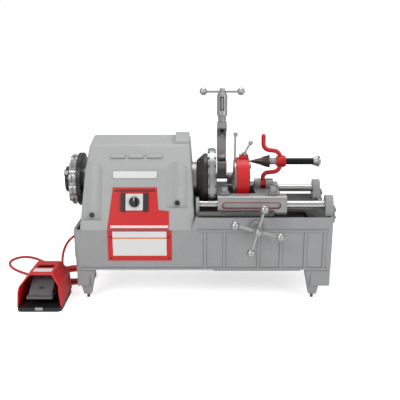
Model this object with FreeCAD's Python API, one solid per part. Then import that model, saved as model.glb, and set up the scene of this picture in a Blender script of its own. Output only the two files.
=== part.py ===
import FreeCAD, Part
import math
import os

# Pipe threading machine, millimetres. X runs along the spindle towards the carriage, Y goes back, Z is up.
# The origin is the centre of the four stand studs, at their tips.

# ---- spindle line and rails ----
AXIS_Z = 394.0            # height of the spindle axis
BORE_R = 32.5             # hollow spindle, passes a 60.3 mm pipe
SPINDLE_R = 42.0
RAIL_R = 14.0
RAIL_Y = 118.0            # rails lie at plus and minus this
RAIL_Z = 331.0
RUN_GAP = 0.05            # radial clearance of a running fit
FACE_GAP = 0.3            # clearance between faces that pass each other

# ---- base casting ----
BASE_X0 = -430.0
BASE_X1 = 455.0
BASE_FRONT = -170.0
BASE_REAR = 160.0
BASE_BOTTOM = 112.0
SEAM_Z = 255.0            # where the hood meets the base
RIM_Z = 298.0             # top rim of the open right-hand part
STEP_X = -30.0            # the seam climbs from here to the rim
STEP_RUN = 15.0
WALL = 8.0
LEFT_FLOOR_Z = 124.0
TRAY_FLOOR_Z = 206.0
MID_WALL_X = -8.0
BASE_ROUND = 18.0
STUD_X = 395.0
STUD_Y = 145.0
STUD_R = 5.0
SHANK_R = 6.0
STUD_UP = 46.0            # the stud's upper end, inside the leg
CORNERS = [(sx * STUD_X, sy * STUD_Y) for sx in (-1, 1) for sy in (-1, 1)]
LEG_FOOT_Z = 16.0
LEG_TOP = (62.0, 44.0)
LEG_FOOT = (26.0, 24.0)
RIDGE_Z = 253.0
RIDGE_OUT = 2.5

# ---- hood ----
HOOD_X0 = -410.0
HOOD_X1 = -15.0
HOOD_TOP_X0 = -387.0
HOOD_TOP_X1 = -36.0
HOOD_WALL = 4.0
HOOD_PROFILE = [(-170.0, SEAM_Z), (-90.0, 453.0), (-20.0, 521.0), (90.0, 548.0), (160.0, SEAM_Z)]
HOOD_ROUND = 26.0
SCOOP_R = 58.0
SCOOP_DEPTH = 12.0
SCOOPS = [(-370.0, 286.0), (-78.0, 325.0)]     # centre x, foot height
HUMP_X = (-88.0, -38.0)
HUMP_RISE = 9.0

# ---- label and switch on the front ----
LABEL_THICK = 1.2
LABEL_LOW_Z = 146.0
LABEL_SEAM_X = (-315.0, -97.0)
LABEL_TOP_X = (-298.0, -148.0)
LABEL_TOP_Z = 391.0
BADGE = (150.0, 24.0, 2.0)
BADGE_AT = (-223.0, 432.0)
SWITCH_AT = (-224.0, 344.0)
SWITCH_PLATE = (60.0, 57.0, 3.0)
KNOB_R = 17.5

# ---- spindle train ----
GEAR_MODULE = 2.5
SPINDLE_TEETH = 72
PINION_TEETH = 16
SECOND_MODULE = 2.0
COUNTER_TEETH = 45
MOTOR_TEETH = 14
BACKLASH = 0.25           # share of a module taken from each tooth
GEAR_X = -200.0
GEAR_WIDTH = 24.0
SECOND_X = -150.0
SECOND_WIDTH = 16.0
COUNTER_Y = 61.0
MOTOR_Y_STEP = 32.0
MOTOR_R = 52.0
MOTOR_X = (-395.0, -250.0)
COUNTER_R = 9.0
MOTOR_SHAFT_R = 7.0
FRONT_PLATE_X = (-90.0, -72.0)
REAR_PLATE_X = (-345.0, -327.0)
MOTOR_PLATE_X = (-250.0, -238.0)
BEARING_R = 56.0

# ---- chuck ----
CHUCK_R = 92.0
WHEEL_R = 112.0
WHEEL_X = (28.0, 56.0)
WHEEL_NOTCHES = 20
JAW_OPEN_R = 36.0
JAW_LONG = 44.0
JAW_WIDE = 20.0
JAW_DEEP = 14.0
REAR_DISC_R = 95.0
REAR_WHEEL_R = 90.0

# ---- carriage ----
CAR_X = (60.0, 296.0)
FRONT_SLEEVE_Y = (-146.0, -90.0)
REAR_SLEEVE_Y = (92.0, 146.0)
SLEEVE_Z = (300.0, 366.0)
REAR_SLEEVE_TOP = 352.0
BRIDGE_Z = (316.0, 345.0)
BRIDGES = [(60.0, 102.0), (200.0, 290.0)]
TOOL_SHAFT = (120.0, 374.0)       # y and z of the shaft that the cutter and die head swing on
TOOL_SHAFT_R = 8.0
HUB_R = 17.0
RACK_X = (-6.0, 252.0)
RACK_MODULE = 2.5
RACK_PINION_TEETH = 20
RACK_Y = (-156.0, -146.0)
HAND_X = 190.0
HAND_Z = 270.0
HAND_HUB_Y = -230.0
HAND_BALL_CIRCLE = 78.0
HAND_BALL_R = 14.5
HAND_TURN = 15.0

# ---- cutter ----
CUT_X = 82.6
CUT_HALF = 17.5
LEAN = 5.0                # the raised cutter and reamer lean back past upright
WORK_R = 121.7            # from the tool shaft to the spindle axis
CUT_BALL_SPAN = 140.0
CUT_END = 320.0

# ---- die head ----
DIE_X = (128.0, 172.0)
DIE_HEAD_R = 78.0
DIE_HOLE_R = 42.0
DIES = 4
DIE_OPEN = 33.0

# ---- reamer ----
REAM_PIVOT = (75.0, 360.0)
REAM_HUB = 82.3
REAM_ARM_X = (227.0, 243.0)
REAM_CONE = (181.0, 258.0, 24.0)
REAM_SHAFT_R = 12.0

# ---- foot switch and cord ----
FOOT_X = (-614.0, -464.0)
FOOT_Y = (-268.0, -95.0)
FOOT_H = 115.0
CORD_R = 5.0
COIL_AT = (-480.0, 30.0)
COIL_R = 70.0
COIL_HALF = 18.0
COIL_H = 26.0

V = FreeCAD.Vector
X_AXIS = V(1, 0, 0)
Y_AXIS = V(0, 1, 0)
Z_AXIS = V(0, 0, 1)


# ---- simple shapes ----

def block(x, y, z):
    return Part.makeBox(x[1] - x[0], y[1] - y[0], z[1] - z[0], V(x[0], y[0], z[0]))


def mid_block(cx, cy, cz, sx, sy, sz):
    return Part.makeBox(sx, sy, sz, V(cx - sx / 2, cy - sy / 2, cz - sz / 2))


def rod_x(x, y, z, r):
    return Part.makeCylinder(r, x[1] - x[0], V(x[0], y, z), X_AXIS)


def rod_y(y, x, z, r):
    return Part.makeCylinder(r, y[1] - y[0], V(x, y[0], z), Y_AXIS)


def rod_z(z, x, y, r):
    return Part.makeCylinder(r, z[1] - z[0], V(x, y, z[0]), Z_AXIS)


def ring_x(x, y, z, r_in, r_out):
    return rod_x(x, y, z, r_out).cut(rod_x(x, y, z, r_in))


def cone_x(x, y, z, r0, r1):
    return Part.makeCone(r0, r1, x[1] - x[0], V(x[0], y, z), X_AXIS)


def ball(x, y, z, r):
    return Part.makeSphere(r, V(x, y, z))


def face_of(points):
    return Part.Face(Part.makePolygon(points + [points[0]]))


def prism_x(points, x):
    return face_of([V(x[0], y, z) for y, z in points]).extrude(V(x[1] - x[0], 0, 0))


def prism_y(points, y):
    return face_of([V(px, y[0], pz) for px, pz in points]).extrude(V(0, y[1] - y[0], 0))


def prism_z(points, z):
    return face_of([V(px, py, z[0]) for px, py in points]).extrude(V(0, 0, z[1] - z[0]))


def taper_z(low, high, z):
    wires = []
    for (cx, cy, sx, sy), level in zip((low, high), z):
        corners = [(-1, -1), (1, -1), (1, 1), (-1, 1)]
        points = [V(cx + sx * a / 2, cy + sy * b / 2, level) for a, b in corners]
        wires.append(Part.makePolygon(points + [points[0]]))
    return Part.makeLoft(wires, True, True)


def straight_along(shape, axis, keep=None):
    """Straight edges that run along an axis, and pass the test."""
    found = []
    for edge in shape.Edges:
        if not isinstance(edge.Curve, Part.Line):
            continue
        if abs(abs(edge.Curve.Direction.dot(axis)) - 1) > 1e-6:
            continue
        if keep is None or keep(edge.CenterOfMass):
            found.append(edge)
    return found


def rounded(shape, radius, axis, keep=None):
    return shape.makeFillet(radius, straight_along(shape, axis, keep))


def turned(shape, about, axis, degrees):
    copy = shape.copy()
    copy.rotate(about, axis, degrees)
    return copy


def moved(shape, x=0.0, y=0.0, z=0.0):
    copy = shape.copy()
    copy.translate(V(x, y, z))
    return copy


def around_axis(shape, count, start=0.0):
    """Copies of a shape around the spindle axis."""
    centre = V(0, 0, AXIS_Z)
    return [turned(shape, centre, X_AXIS, start + 360.0 * i / count) for i in range(count)]


FRONT_SLOPE = math.degrees(math.atan2(HOOD_PROFILE[1][0] - HOOD_PROFILE[0][0],
                                      HOOD_PROFILE[1][1] - HOOD_PROFILE[0][1]))


def front_y(z):
    """Y of the hood's sloping front at a height."""
    return HOOD_PROFILE[0][0] + (z - HOOD_PROFILE[0][1]) * math.tan(math.radians(FRONT_SLOPE))


def on_front(shape, x, z):
    """Lay a shape, built flat with its outside up, on the hood's sloping front."""
    copy = shape.copy()
    copy.rotate(V(0, 0, 0), X_AXIS, 90.0 - FRONT_SLOPE)
    copy.translate(V(x, front_y(z), z))
    return copy


# ---- gears ----

def gear_points(module, teeth, phase):
    """Involute outline of a spur gear, with one tooth centred on the phase angle."""
    pitch_r = module * teeth / 2
    base_r = pitch_r * math.cos(math.radians(20))
    tip_r = pitch_r + 0.9 * module
    root_r = pitch_r - 1.2 * module
    start_r = max(base_r, root_r)

    def involute(r):
        a = math.acos(min(1.0, base_r / r))
        return math.tan(a) - a

    half = (math.pi / 2 - BACKLASH) / teeth + involute(pitch_r)
    steps = 4
    radii = [start_r + (tip_r - start_r) * i / (steps - 1) for i in range(steps)]
    points = []
    for tooth in range(teeth):
        centre = phase + 2 * math.pi * tooth / teeth
        left = [(r, centre - half + involute(r)) for r in radii]
        right = [(r, centre + half - involute(r)) for r in reversed(radii)]
        flank = [(root_r, left[0][1])] + left + right + [(root_r, right[-1][1])]
        points += flank if start_r > root_r else left + right
    return [(r * math.cos(a), r * math.sin(a)) for r, a in points]


def gear_x(module, teeth, phase, middle, width, y, z):
    points = [(y + a, z + b) for a, b in gear_points(module, teeth, phase)]
    return prism_x(points, (middle - width / 2, middle + width / 2))


SPINDLE_PITCH_R = GEAR_MODULE * SPINDLE_TEETH / 2
COUNTER_DROP = math.sqrt((SPINDLE_PITCH_R + GEAR_MODULE * PINION_TEETH / 2) ** 2 - COUNTER_Y ** 2)
COUNTER_Z = AXIS_Z - COUNTER_DROP
SECOND_CENTRES = SECOND_MODULE * (COUNTER_TEETH + MOTOR_TEETH) / 2
MOTOR_Y = COUNTER_Y + MOTOR_Y_STEP
MOTOR_Z = COUNTER_Z - math.sqrt(SECOND_CENTRES ** 2 - MOTOR_Y_STEP ** 2)
FIRST_MESH = math.atan2(-COUNTER_DROP, COUNTER_Y)
SECOND_MESH = math.atan2(MOTOR_Z - COUNTER_Z, MOTOR_Y_STEP)


# ---- base ----

def base_outline(inset, x0, x1, y_grow=0.0):
    corners = [(x0 + inset, BASE_FRONT + inset - y_grow), (x1 - inset, BASE_FRONT + inset - y_grow),
               (x1 - inset, BASE_REAR - inset + y_grow), (x0 + inset, BASE_REAR - inset + y_grow)]
    return corners


def seam_profile(low, gap=0.0):
    """XZ outline of everything above the seam between base and hood."""
    high = 700.0
    return [(BASE_X0 - 100, SEAM_Z + gap), (STEP_X, SEAM_Z + gap), (STEP_X + STEP_RUN, low + gap),
            (BASE_X1 + 100, low + gap), (BASE_X1 + 100, high), (BASE_X0 - 100, high)]


def base_casting():
    body = prism_z(base_outline(0, BASE_X0, BASE_X1), (BASE_BOTTOM, RIM_Z))
    body = rounded(body, BASE_ROUND, Z_AXIS)
    body = body.cut(prism_y(seam_profile(RIM_Z), (BASE_FRONT - 50, BASE_REAR + 50)))
    left_room = prism_z(base_outline(WALL, BASE_X0, MID_WALL_X), (LEFT_FLOOR_Z, RIM_Z + 10))
    right_room = prism_z(base_outline(WALL, MID_WALL_X, BASE_X1), (TRAY_FLOOR_Z, RIM_Z + 10))
    under_right = prism_z(base_outline(WALL, MID_WALL_X, BASE_X1), (BASE_BOTTOM - 10, TRAY_FLOOR_Z - WALL))
    rooms = [rounded(room, BASE_ROUND - WALL, Z_AXIS) for room in (left_room, right_room, under_right)]
    body = body.cut(Part.makeCompound(rooms))
    ridge = block((MID_WALL_X, BASE_X1 - BASE_ROUND),
                  (BASE_FRONT - RIDGE_OUT, BASE_FRONT + 1), (RIDGE_Z - 3, RIDGE_Z + 3))
    flange = block((BASE_X0 + BASE_ROUND, BASE_X1 - BASE_ROUND),
                   (BASE_FRONT - RIDGE_OUT, BASE_FRONT + 1), (BASE_BOTTOM, BASE_BOTTOM + 7))
    rib_xs = [17.0, 83.0, 200.0, 277.0, 360.0, 425.0]
    ribs = [block((x - 4, x + 4), (BASE_FRONT - RIDGE_OUT, BASE_FRONT + 1), (BASE_BOTTOM, RIDGE_Z)) for x in rib_xs]
    boss = rod_y((BASE_FRONT - 18, BASE_FRONT + WALL), HAND_X, HAND_Z, 20.0)
    boss_cut = rod_y((BASE_FRONT - 20, BASE_FRONT + WALL + 2), HAND_X, HAND_Z, 8.0 + RUN_GAP)
    body = body.fuse([ridge, flange, boss] + ribs)
    body = body.fuse([leg(sx, sy) for sx in (-1, 1) for sy in (-1, 1)])
    studs = [rod_z((0, STUD_UP), x, y, SHANK_R) for x, y in CORNERS]
    power = rod_x((BASE_X0 - 5, BASE_X0 + WALL + 5), GLAND_Y, GLAND_Z, GLAND_R)
    spout = rod_z((TRAY_FLOOR_Z - WALL - 5, TRAY_FLOOR_Z + 5), SUMP_DRAIN[0], SUMP_DRAIN[1], 18.0)
    return body.cut(Part.makeCompound(studs + [boss_cut, power, spout])).removeSplitter()


def leg(sx, sy):
    x, y = sx * STUD_X, sy * STUD_Y
    tall = LEFT_FLOOR_Z if sx < 0 else TRAY_FLOOR_Z - WALL
    column = taper_z((x, y, LEG_FOOT[0], LEG_FOOT[1]), (x, y, LEG_TOP[0], LEG_TOP[1]),
                     (LEG_FOOT_Z, BASE_BOTTOM))
    root = mid_block(x, y, (BASE_BOTTOM + tall) / 2, LEG_TOP[0], LEG_TOP[1], tall - BASE_BOTTOM)
    web_x = (BASE_X0 + 4, x) if sx < 0 else (x, BASE_X1 - 4)
    face = BASE_FRONT + 4 if sy < 0 else BASE_REAR - 14
    web = block(web_x, (face, face + 10), (50.0, BASE_BOTTOM + 4))
    bridge = block((x - 10, x + 10), (min(y, face), max(y, face + 10)), (50.0, BASE_BOTTOM + 4))
    return column.fuse([root, web, bridge])


GLAND_Y = 100.0
GLAND_Z = 150.0
GLAND_R = 10.0
SUMP_DRAIN = (60.0, 90.0)


def stand_studs():
    """Studs whose thicker shanks are held in the legs and whose tips stand out below."""
    studs = []
    for x, y in CORNERS:
        tip = rod_z((0, LEG_FOOT_Z), x, y, STUD_R)
        studs.append(tip.fuse(rod_z((LEG_FOOT_Z, STUD_UP), x, y, SHANK_R)))
    return studs


def oil_sump():
    outer = prism_z(base_outline(WALL + 3, 30.0, BASE_X1 - 90.0), (BASE_BOTTOM - 8, TRAY_FLOOR_Z - WALL - FACE_GAP))
    inner = prism_z(base_outline(WALL + 6, 30.0, BASE_X1 - 90.0), (BASE_BOTTOM - 5, TRAY_FLOOR_Z))
    return rounded(outer, 12.0, Z_AXIS).cut(rounded(inner, 9.0, Z_AXIS))


def drain_plug():
    z = BASE_BOTTOM - 8
    head = prism_z([(50 + 11 * math.cos(math.radians(a)), -110 + 11 * math.sin(math.radians(a)))
                    for a in range(0, 360, 60)], (z - 9, z))
    return head


def chip_tray():
    """Perforated pan that keeps chips out of the oil, on ledges inside the right-hand room."""
    low, edge = TRAY_FLOOR_Z + 8, 12.0
    pan = prism_z(base_outline(WALL + 4, 20.0, 425.0), (low, low + edge))
    pan = pan.cut(prism_z(base_outline(WALL + 6, 20.0, 425.0), (low + 2, low + edge + 1)))
    feet = [block((x - 10, x + 10), (y - 10, y + 10), (TRAY_FLOOR_Z, low))
            for x in (60.0, 380.0) for y in (-130.0, 120.0)]
    holes = [rod_z((low - 1, low + 3), x, y, 4.0) for x in range(60, 400, 34) for y in range(-125, 130, 50)]
    return pan.fuse(feet).cut(Part.makeCompound(holes))


def end_cover():
    """Cover strip on the left end of the base."""
    plate = block((BASE_X0 - 5, BASE_X0), (BASE_FRONT + 30, 60.0), (140.0, SEAM_Z - 4))
    return rounded(plate, 12.0, X_AXIS)


# ---- hood ----

def hood_solid(inset, round_r):
    """Outside of the hood, or with an inset its inside."""
    points = [V(0, y, z) for y, z in HOOD_PROFILE]
    points[0].z -= 60
    points[-1].z -= 60
    points[0].y = front_y(SEAM_Z - 60)
    points[-1].y += 60 * (HOOD_PROFILE[4][0] - HOOD_PROFILE[3][0]) / (HOOD_PROFILE[3][1] - HOOD_PROFILE[4][1])
    wire = Part.makePolygon(points + [points[0]])
    face = Part.Face(wire)
    if inset:
        face = Part.Face(wire.makeOffset2D(-inset, 2))
    body = face.extrude(V(HOOD_X1 - HOOD_X0 + 40, 0, 0))
    body.translate(V(HOOD_X0 - 20, 0, 0))
    upper = lambda c: c.z > SEAM_Z + 40
    body = body.makeFillet(round_r, straight_along(body, X_AXIS, upper))
    top = 620.0
    lean_l = (HOOD_TOP_X0 - HOOD_X0) / (HOOD_PROFILE[3][1] - SEAM_Z)
    lean_r = (HOOD_X1 - HOOD_TOP_X1) / (HOOD_PROFILE[3][1] - SEAM_Z)
    low = SEAM_Z - 100
    ends = prism_y([(HOOD_X0 + inset - lean_l * 100, low), (HOOD_X1 - inset + lean_r * 100, low),
                    (HOOD_X1 - inset - lean_r * (top - SEAM_Z), top),
                    (HOOD_X0 + inset + lean_l * (top - SEAM_Z), top)], (-400, 400))
    return body.common(ends)


def end_edges(shape, margin):
    """Curved rim edges where the hood's ends meet its skin, above the seam."""
    found = []
    for edge in shape.Edges:
        c = edge.CenterOfMass
        at_end = min(abs(c.x - HOOD_X0), abs(c.x - HOOD_X1)) < 40
        if at_end and c.z > SEAM_Z - 50 + margin and edge.BoundBox.XLength < 60:
            found.append(edge)
    return found


def scoop_tool(x, foot_z, grow):
    """Round channel down the sloping front, with its foot at a height."""
    centre_out = SCOOP_R - SCOOP_DEPTH
    tube = Part.makeCylinder(SCOOP_R + grow, 260.0, V(0, 0, centre_out), Y_AXIS)
    tube = on_front(tube, x, foot_z - grow)
    return tube.common(block((x - 100, x + 100), (-400, 300), (foot_z - grow, 620.0)))


def hood():
    outer = hood_solid(0.0, HOOD_ROUND)
    outer = outer.makeFillet(10.0, end_edges(outer, 20))
    inner = hood_solid(HOOD_WALL, HOOD_ROUND - HOOD_WALL)
    above = prism_y(seam_profile(RIM_Z, FACE_GAP), (-400, 400))
    hump = hump_solid()
    shell = outer.fuse(hump).cut(inner)
    for x, foot_z in SCOOPS:
        pocket = scoop_tool(x, foot_z, HOOD_WALL).common(outer)
        shell = shell.fuse(pocket).cut(scoop_tool(x, foot_z, 0.0))
    shell = shell.common(above)
    left_hole = rod_x((HOOD_X0 - 10, HOOD_X0 + 60), 0, AXIS_Z, SPINDLE_R + 4)
    right_hole = rod_x((HOOD_X1 - 70, HOOD_X1 + 20), 0, AXIS_Z, CHUCK_NECK_R + 4)
    screws = [scoop_screw(x, z, 4.5) for x, z in SCOOPS]
    shaft = on_front(rod_z((-20, 10), 0, 0, 5.2), *SWITCH_AT)
    return shell.cut(Part.makeCompound([left_hole, right_hole, shaft] + screws)).removeSplitter()


def hump_solid():
    (y0, z0), (y1, z1) = HOOD_PROFILE[2], HOOD_PROFILE[3]
    slope = (z1 - z0) / (y1 - y0)
    points = [(y0 + 8, z0 - 4), (y0 + 14, z0 + HUMP_RISE + slope * 14), (y1 - 14, z1 + HUMP_RISE - slope * 14),
              (y1 - 6, z1 - 8)]
    return rounded(prism_x(points, HUMP_X), 3.0, X_AXIS, lambda c: c.z > z0 + 4)


def scoop_screw(x, foot_z, r):
    seat = rod_z((-SCOOP_DEPTH, 0), 0, 0, 8.2)
    return on_front(rod_z((-60, -SCOOP_DEPTH), 0, 0, r).fuse(seat), x, foot_z + SCREW_RISE)


def hood_screws():
    screws = []
    for x, foot_z in SCOOPS:
        head = rod_z((-SCOOP_DEPTH, -SCOOP_DEPTH + 5), 0, 0, 8.0).fuse(rod_z((-30, -SCOOP_DEPTH), 0, 0, 4.5))
        head = head.cut(mid_block(0, 0, -SCOOP_DEPTH + 5, 12, 1.6, 3))
        screws.append(on_front(head, x, foot_z + SCREW_RISE))
    return screws


CHUCK_NECK_R = 62.0
SCREW_RISE = 18.0         # hood screws above the scoops' feet


def switch_label():
    low = SEAM_Z + 1
    step_z = 315.0
    xs, xt = LABEL_SEAM_X, LABEL_TOP_X
    slope = math.cos(math.radians(FRONT_SLOPE))
    heights = [0.0, (step_z - low) / slope, (step_z + 4 - low) / slope, (LABEL_TOP_Z - low) / slope]
    points = [(xs[0], 0), (xs[1] - 9, 0), (xs[1] - 9, heights[1]), (xt[1] + 6, heights[2]), (xt[1], heights[3]),
              (xt[0], heights[3])]
    plate = prism_z(points, (0, LABEL_THICK))
    plate = on_front(plate, 0, low)
    return plate.cut(on_front(rod_z((-5, 5), 0, 0, 5.2), *SWITCH_AT))


def instruction_label():
    plate = block(LABEL_SEAM_X, (BASE_FRONT - LABEL_THICK, BASE_FRONT), (LABEL_LOW_Z, SEAM_Z - 1))
    return plate


def label_rivets():
    heads = []
    for x in (LABEL_SEAM_X[0] + 10, LABEL_SEAM_X[1] - 10):
        for z in (LABEL_LOW_Z + 8, SEAM_Z - 24):
            heads.append(rod_y((BASE_FRONT - LABEL_THICK - 1.5, BASE_FRONT - LABEL_THICK), x, z, 3.0))
    return heads


def badge():
    plate = mid_block(0, 0, BADGE[2] / 2, *BADGE)
    return on_front(rounded(plate, 3.0, Z_AXIS), *BADGE_AT)


def switch_plate():
    w, h, t = SWITCH_PLATE
    plate = rounded(mid_block(0, 0, LABEL_THICK + t / 2, w, h, t), 4.0, Z_AXIS)
    bars = [mid_block(s * (w / 2 + 9), 0, LABEL_THICK + t, 14, h + 6, 2 * t) for s in (-1, 1)]
    bars = [rounded(bar, 2.0, Z_AXIS) for bar in bars]
    hole = rod_z((-5, 20), 0, 0, 5.2)
    return on_front(plate.cut(hole), *SWITCH_AT), [on_front(bar, *SWITCH_AT) for bar in bars]


def switch_box():
    """Switch body behind the hood's front, with its shaft hole."""
    box = mid_block(0, 0, -HOOD_WALL - 0.2 - 18, 54, 48, 36)
    return on_front(box.cut(rod_z((-60, 0), 0, 0, 5.2)), *SWITCH_AT)


def switch_knob():
    base = LABEL_THICK + SWITCH_PLATE[2] + FACE_GAP
    skirt = rod_z((base, base + 4), 0, 0, KNOB_R)
    grip = mid_block(0, 0, base + 10, 11, 2 * KNOB_R - 3, 14)
    grip = rounded(grip, 4.0, Z_AXIS)
    shaft = rod_z((-25, base), 0, 0, 5.15)
    return on_front(skirt.fuse([grip, shaft]), *SWITCH_AT)


# ---- rails ----

def guide_rails():
    return [rod_x((MID_WALL_X, BASE_X1 - 2), s * RAIL_Y, RAIL_Z, RAIL_R) for s in (-1, 1)]


def rail_bracket(side):
    """Right-hand post that a rail ends in, bolted down to the rim of the base."""
    y = side * RAIL_Y
    half = 27.0
    points = [(y - half, RIM_Z), (y + half, RIM_Z), (y + half - 5, RAIL_Z + 16),
              (y + 12, RAIL_Z + 33), (y - 12, RAIL_Z + 33), (y - half + 5, RAIL_Z + 16)]
    body = prism_x(points, (BASE_X1 - 26, BASE_X1))
    body = rounded(body, 9.0, X_AXIS, lambda c: c.z > RIM_Z + 5)
    apron = block((BASE_X1, BASE_X1 + 8), (y - 20, y + 20), (RIM_Z - 26, RIM_Z + 30))
    return body.fuse(apron).cut(rod_x((BASE_X1 - 40, BASE_X1 - 2), y, RAIL_Z, RAIL_R))


def bracket_screws():
    screws = []
    for side in (-1, 1):
        y = side * RAIL_Y
        screws.append(rod_x((BASE_X1 + 8, BASE_X1 + 14), y, RIM_Z - 12, 6.5))
        screws.append(rod_x((BASE_X1 + 8, BASE_X1 + 14), y, RIM_Z + 14, 6.5))
    return screws


def rail_seats():
    """Short sockets that hold the rails at the headstock end, on the base's cross wall."""
    seats = []
    for side in (-1, 1):
        y = side * RAIL_Y
        seat = block((MID_WALL_X - 6, MID_WALL_X + 5), (y - 22, y + 22), (RIM_Z, RAIL_Z + 24))
        seat = rounded(seat, 10.0, X_AXIS, lambda c: c.z > RAIL_Z)
        seats.append(seat.cut(rod_x((MID_WALL_X, 100), y, RAIL_Z, RAIL_R)))
    return seats


# ---- spindle, chuck and centring device ----

CHUCK_BACK = (-12.0, 14.0)
CHUCK_FACE = 26.0
REAR_DISC = (-430.0, -416.0)
REAR_WHEEL = (-455.0, -431.0)
REAR_JAW_X = (-474.0, -458.0)
REAR_SLEEVE_END = -478.0
JAW_KEY = 8.0
JAW_STROKE = 24.0


def spindle():
    bore_end = (REAR_DISC[0] - 1, CHUCK_BACK[0] + 1)
    tube = rod_x((REAR_DISC[0], CHUCK_BACK[0]), 0, AXIS_Z, SPINDLE_R)
    shoulder = [rod_x((FRONT_PLATE_X[1] + 2, CHUCK_BACK[0]), 0, AXIS_Z, CHUCK_NECK_R),
                rod_x((GEAR_X + GEAR_WIDTH / 2, GEAR_X + GEAR_WIDTH / 2 + 14), 0, AXIS_Z, SPINDLE_R + 7)]
    return tube.fuse(shoulder).cut(rod_x(bore_end, 0, AXIS_Z, BORE_R))


def spindle_gear():
    gear = gear_x(GEAR_MODULE, SPINDLE_TEETH, FIRST_MESH, GEAR_X, GEAR_WIDTH, 0, AXIS_Z)
    gear = gear.cut(rod_x((GEAR_X - 20, GEAR_X + 20), 0, AXIS_Z, SPINDLE_R))
    web = [ring_x(x, 0, AXIS_Z, SPINDLE_R + 12, SPINDLE_PITCH_R - 12)
           for x in ((GEAR_X - 13, GEAR_X - 5), (GEAR_X + 5, GEAR_X + 13))]
    return gear.cut(Part.makeCompound(web))


def bearing_ring(x, y, z, r_in, r_out):
    return ring_x(x, y, z, r_in, r_out)


def spindle_bearings():
    return [bearing_ring(x, 0, AXIS_Z, SPINDLE_R + RUN_GAP, BEARING_R) for x in (REAR_PLATE_X, FRONT_PLATE_X)]


def chuck_body():
    """Body that closes round the spindle's front end and carries the jaws' guide face."""
    back = cone_x((CHUCK_BACK[0], CHUCK_BACK[1]), 0, AXIS_Z, CHUCK_NECK_R + 6, CHUCK_R)
    front = rod_x((CHUCK_BACK[1], CHUCK_FACE), 0, AXIS_Z, CHUCK_R)
    nose = rod_x((CHUCK_FACE, WHEEL_X[0] + 4), 0, AXIS_Z, CHUCK_R - 14)
    body = back.fuse([front, nose]).cut(rod_x((CHUCK_BACK[0] - 1, 60), 0, AXIS_Z, BORE_R))
    slots = around_axis(mid_block(CHUCK_BACK[0] + 10, 0, AXIS_Z + CHUCK_R - 4, 9, 12, 26), 9, 20.0)
    guides = around_axis(jaw_key_space(WHEEL_X[0] + 4 - JAW_KEY, WHEEL_X[0] + 5), 3)
    return body.cut(Part.makeCompound(slots + guides))


def jaw_key_space(x0, x1):
    wide = JAW_KEY + 2 * FACE_GAP
    low = JAW_OPEN_R - JAW_STROKE + 4
    high = JAW_OPEN_R + JAW_LONG
    return block((x0, x1), (-wide / 2, wide / 2), (AXIS_Z + low, AXIS_Z + high))


def hammer_wheel():
    """Rim that closes the jaws, notched on both edges for the hand."""
    low, high = WHEEL_X
    ring = ring_x((low, high), 0, AXIS_Z, CHUCK_R - 14 + FACE_GAP, WHEEL_R)
    room = rod_x((low + 1, high - 6), 0, AXIS_Z, CHUCK_R - 4)
    face = ring_x((high - 6, high), 0, AXIS_Z, 52.0, WHEEL_R - 10)
    ring = ring.cut(room).fuse(face)
    ring = ring.cut(ring_x((low - 1, low + 6), 0, AXIS_Z, WHEEL_R - 3, WHEEL_R + 5))
    ring = ring.cut(ring_x((high - 6, high + 1), 0, AXIS_Z, WHEEL_R - 3, WHEEL_R + 5))
    notch = []
    for edge in (low, high):
        notch += around_axis(moved(rod_z((-12, 12), edge, 0, 6.5), z=AXIS_Z + WHEEL_R), WHEEL_NOTCHES)
    lip = rod_x((low - 1, low + 1.5), 0, AXIS_Z, CHUCK_R - 14 + FACE_GAP)
    return ring.cut(Part.makeCompound(notch + [lip])).removeSplitter()


def jaw(x0, key_x):
    """One jaw, standing above the bore, with a toothed tip and a key on its back."""
    low, high = AXIS_Z + JAW_OPEN_R, AXIS_Z + JAW_OPEN_R + JAW_LONG
    half = JAW_WIDE / 2
    points = [(-4, low), (4, low), (half, low + 10), (half, high), (-half, high), (-half, low + 10)]
    body = prism_x(points, (x0, x0 + JAW_DEEP))
    key = block(key_x, (-JAW_KEY / 2, JAW_KEY / 2), (low + 6, high - 6))
    teeth = [rod_x((x0 - 1, x0 + JAW_DEEP + 1), y, low, 1.0) for y in (-2.6, 0.0, 2.6)]
    return body.fuse(key).cut(Part.makeCompound(teeth))


def chuck_jaws():
    x0 = WHEEL_X[0] + 4 + FACE_GAP
    return around_axis(jaw(x0, (x0 - JAW_KEY + 1, x0 + 1)), 3)


def rear_body():
    """Back disc and slotted sleeve of the rear centring device, keyed to the spindle."""
    disc = rod_x(REAR_DISC, 0, AXIS_Z, REAR_DISC_R)
    sleeve = rod_x((REAR_SLEEVE_END, REAR_DISC[0]), 0, AXIS_Z, SPINDLE_R + 4)
    body = disc.fuse(sleeve)
    body = body.cut(rod_x((REAR_DISC[0], REAR_DISC[1] + 1), 0, AXIS_Z, SPINDLE_R))
    body = body.cut(rod_x((REAR_SLEEVE_END - 1, REAR_DISC[0] + 1), 0, AXIS_Z, BORE_R))
    gap = JAW_WIDE + 2 * FACE_GAP
    slot = block((REAR_JAW_X[0] - 1, REAR_JAW_X[1] + 1), (-gap / 2, gap / 2), (AXIS_Z, AXIS_Z + 60))
    return body.cut(Part.makeCompound(around_axis(slot, 3, 60.0)))


def rear_wheel():
    ring = ring_x(REAR_WHEEL, 0, AXIS_Z, SPINDLE_R + 4 + FACE_GAP, REAR_WHEEL_R)
    groove = ring_x((REAR_WHEEL[0] + 9, REAR_WHEEL[1] - 6), 0, AXIS_Z, REAR_WHEEL_R - 4, REAR_WHEEL_R + 5)
    scallops = around_axis(rod_x((REAR_WHEEL[0] - 1, REAR_WHEEL[1] + 1), 0, AXIS_Z + REAR_WHEEL_R + 14, 20.0), 12)
    return ring.cut(groove).cut(Part.makeCompound(scallops))


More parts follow.
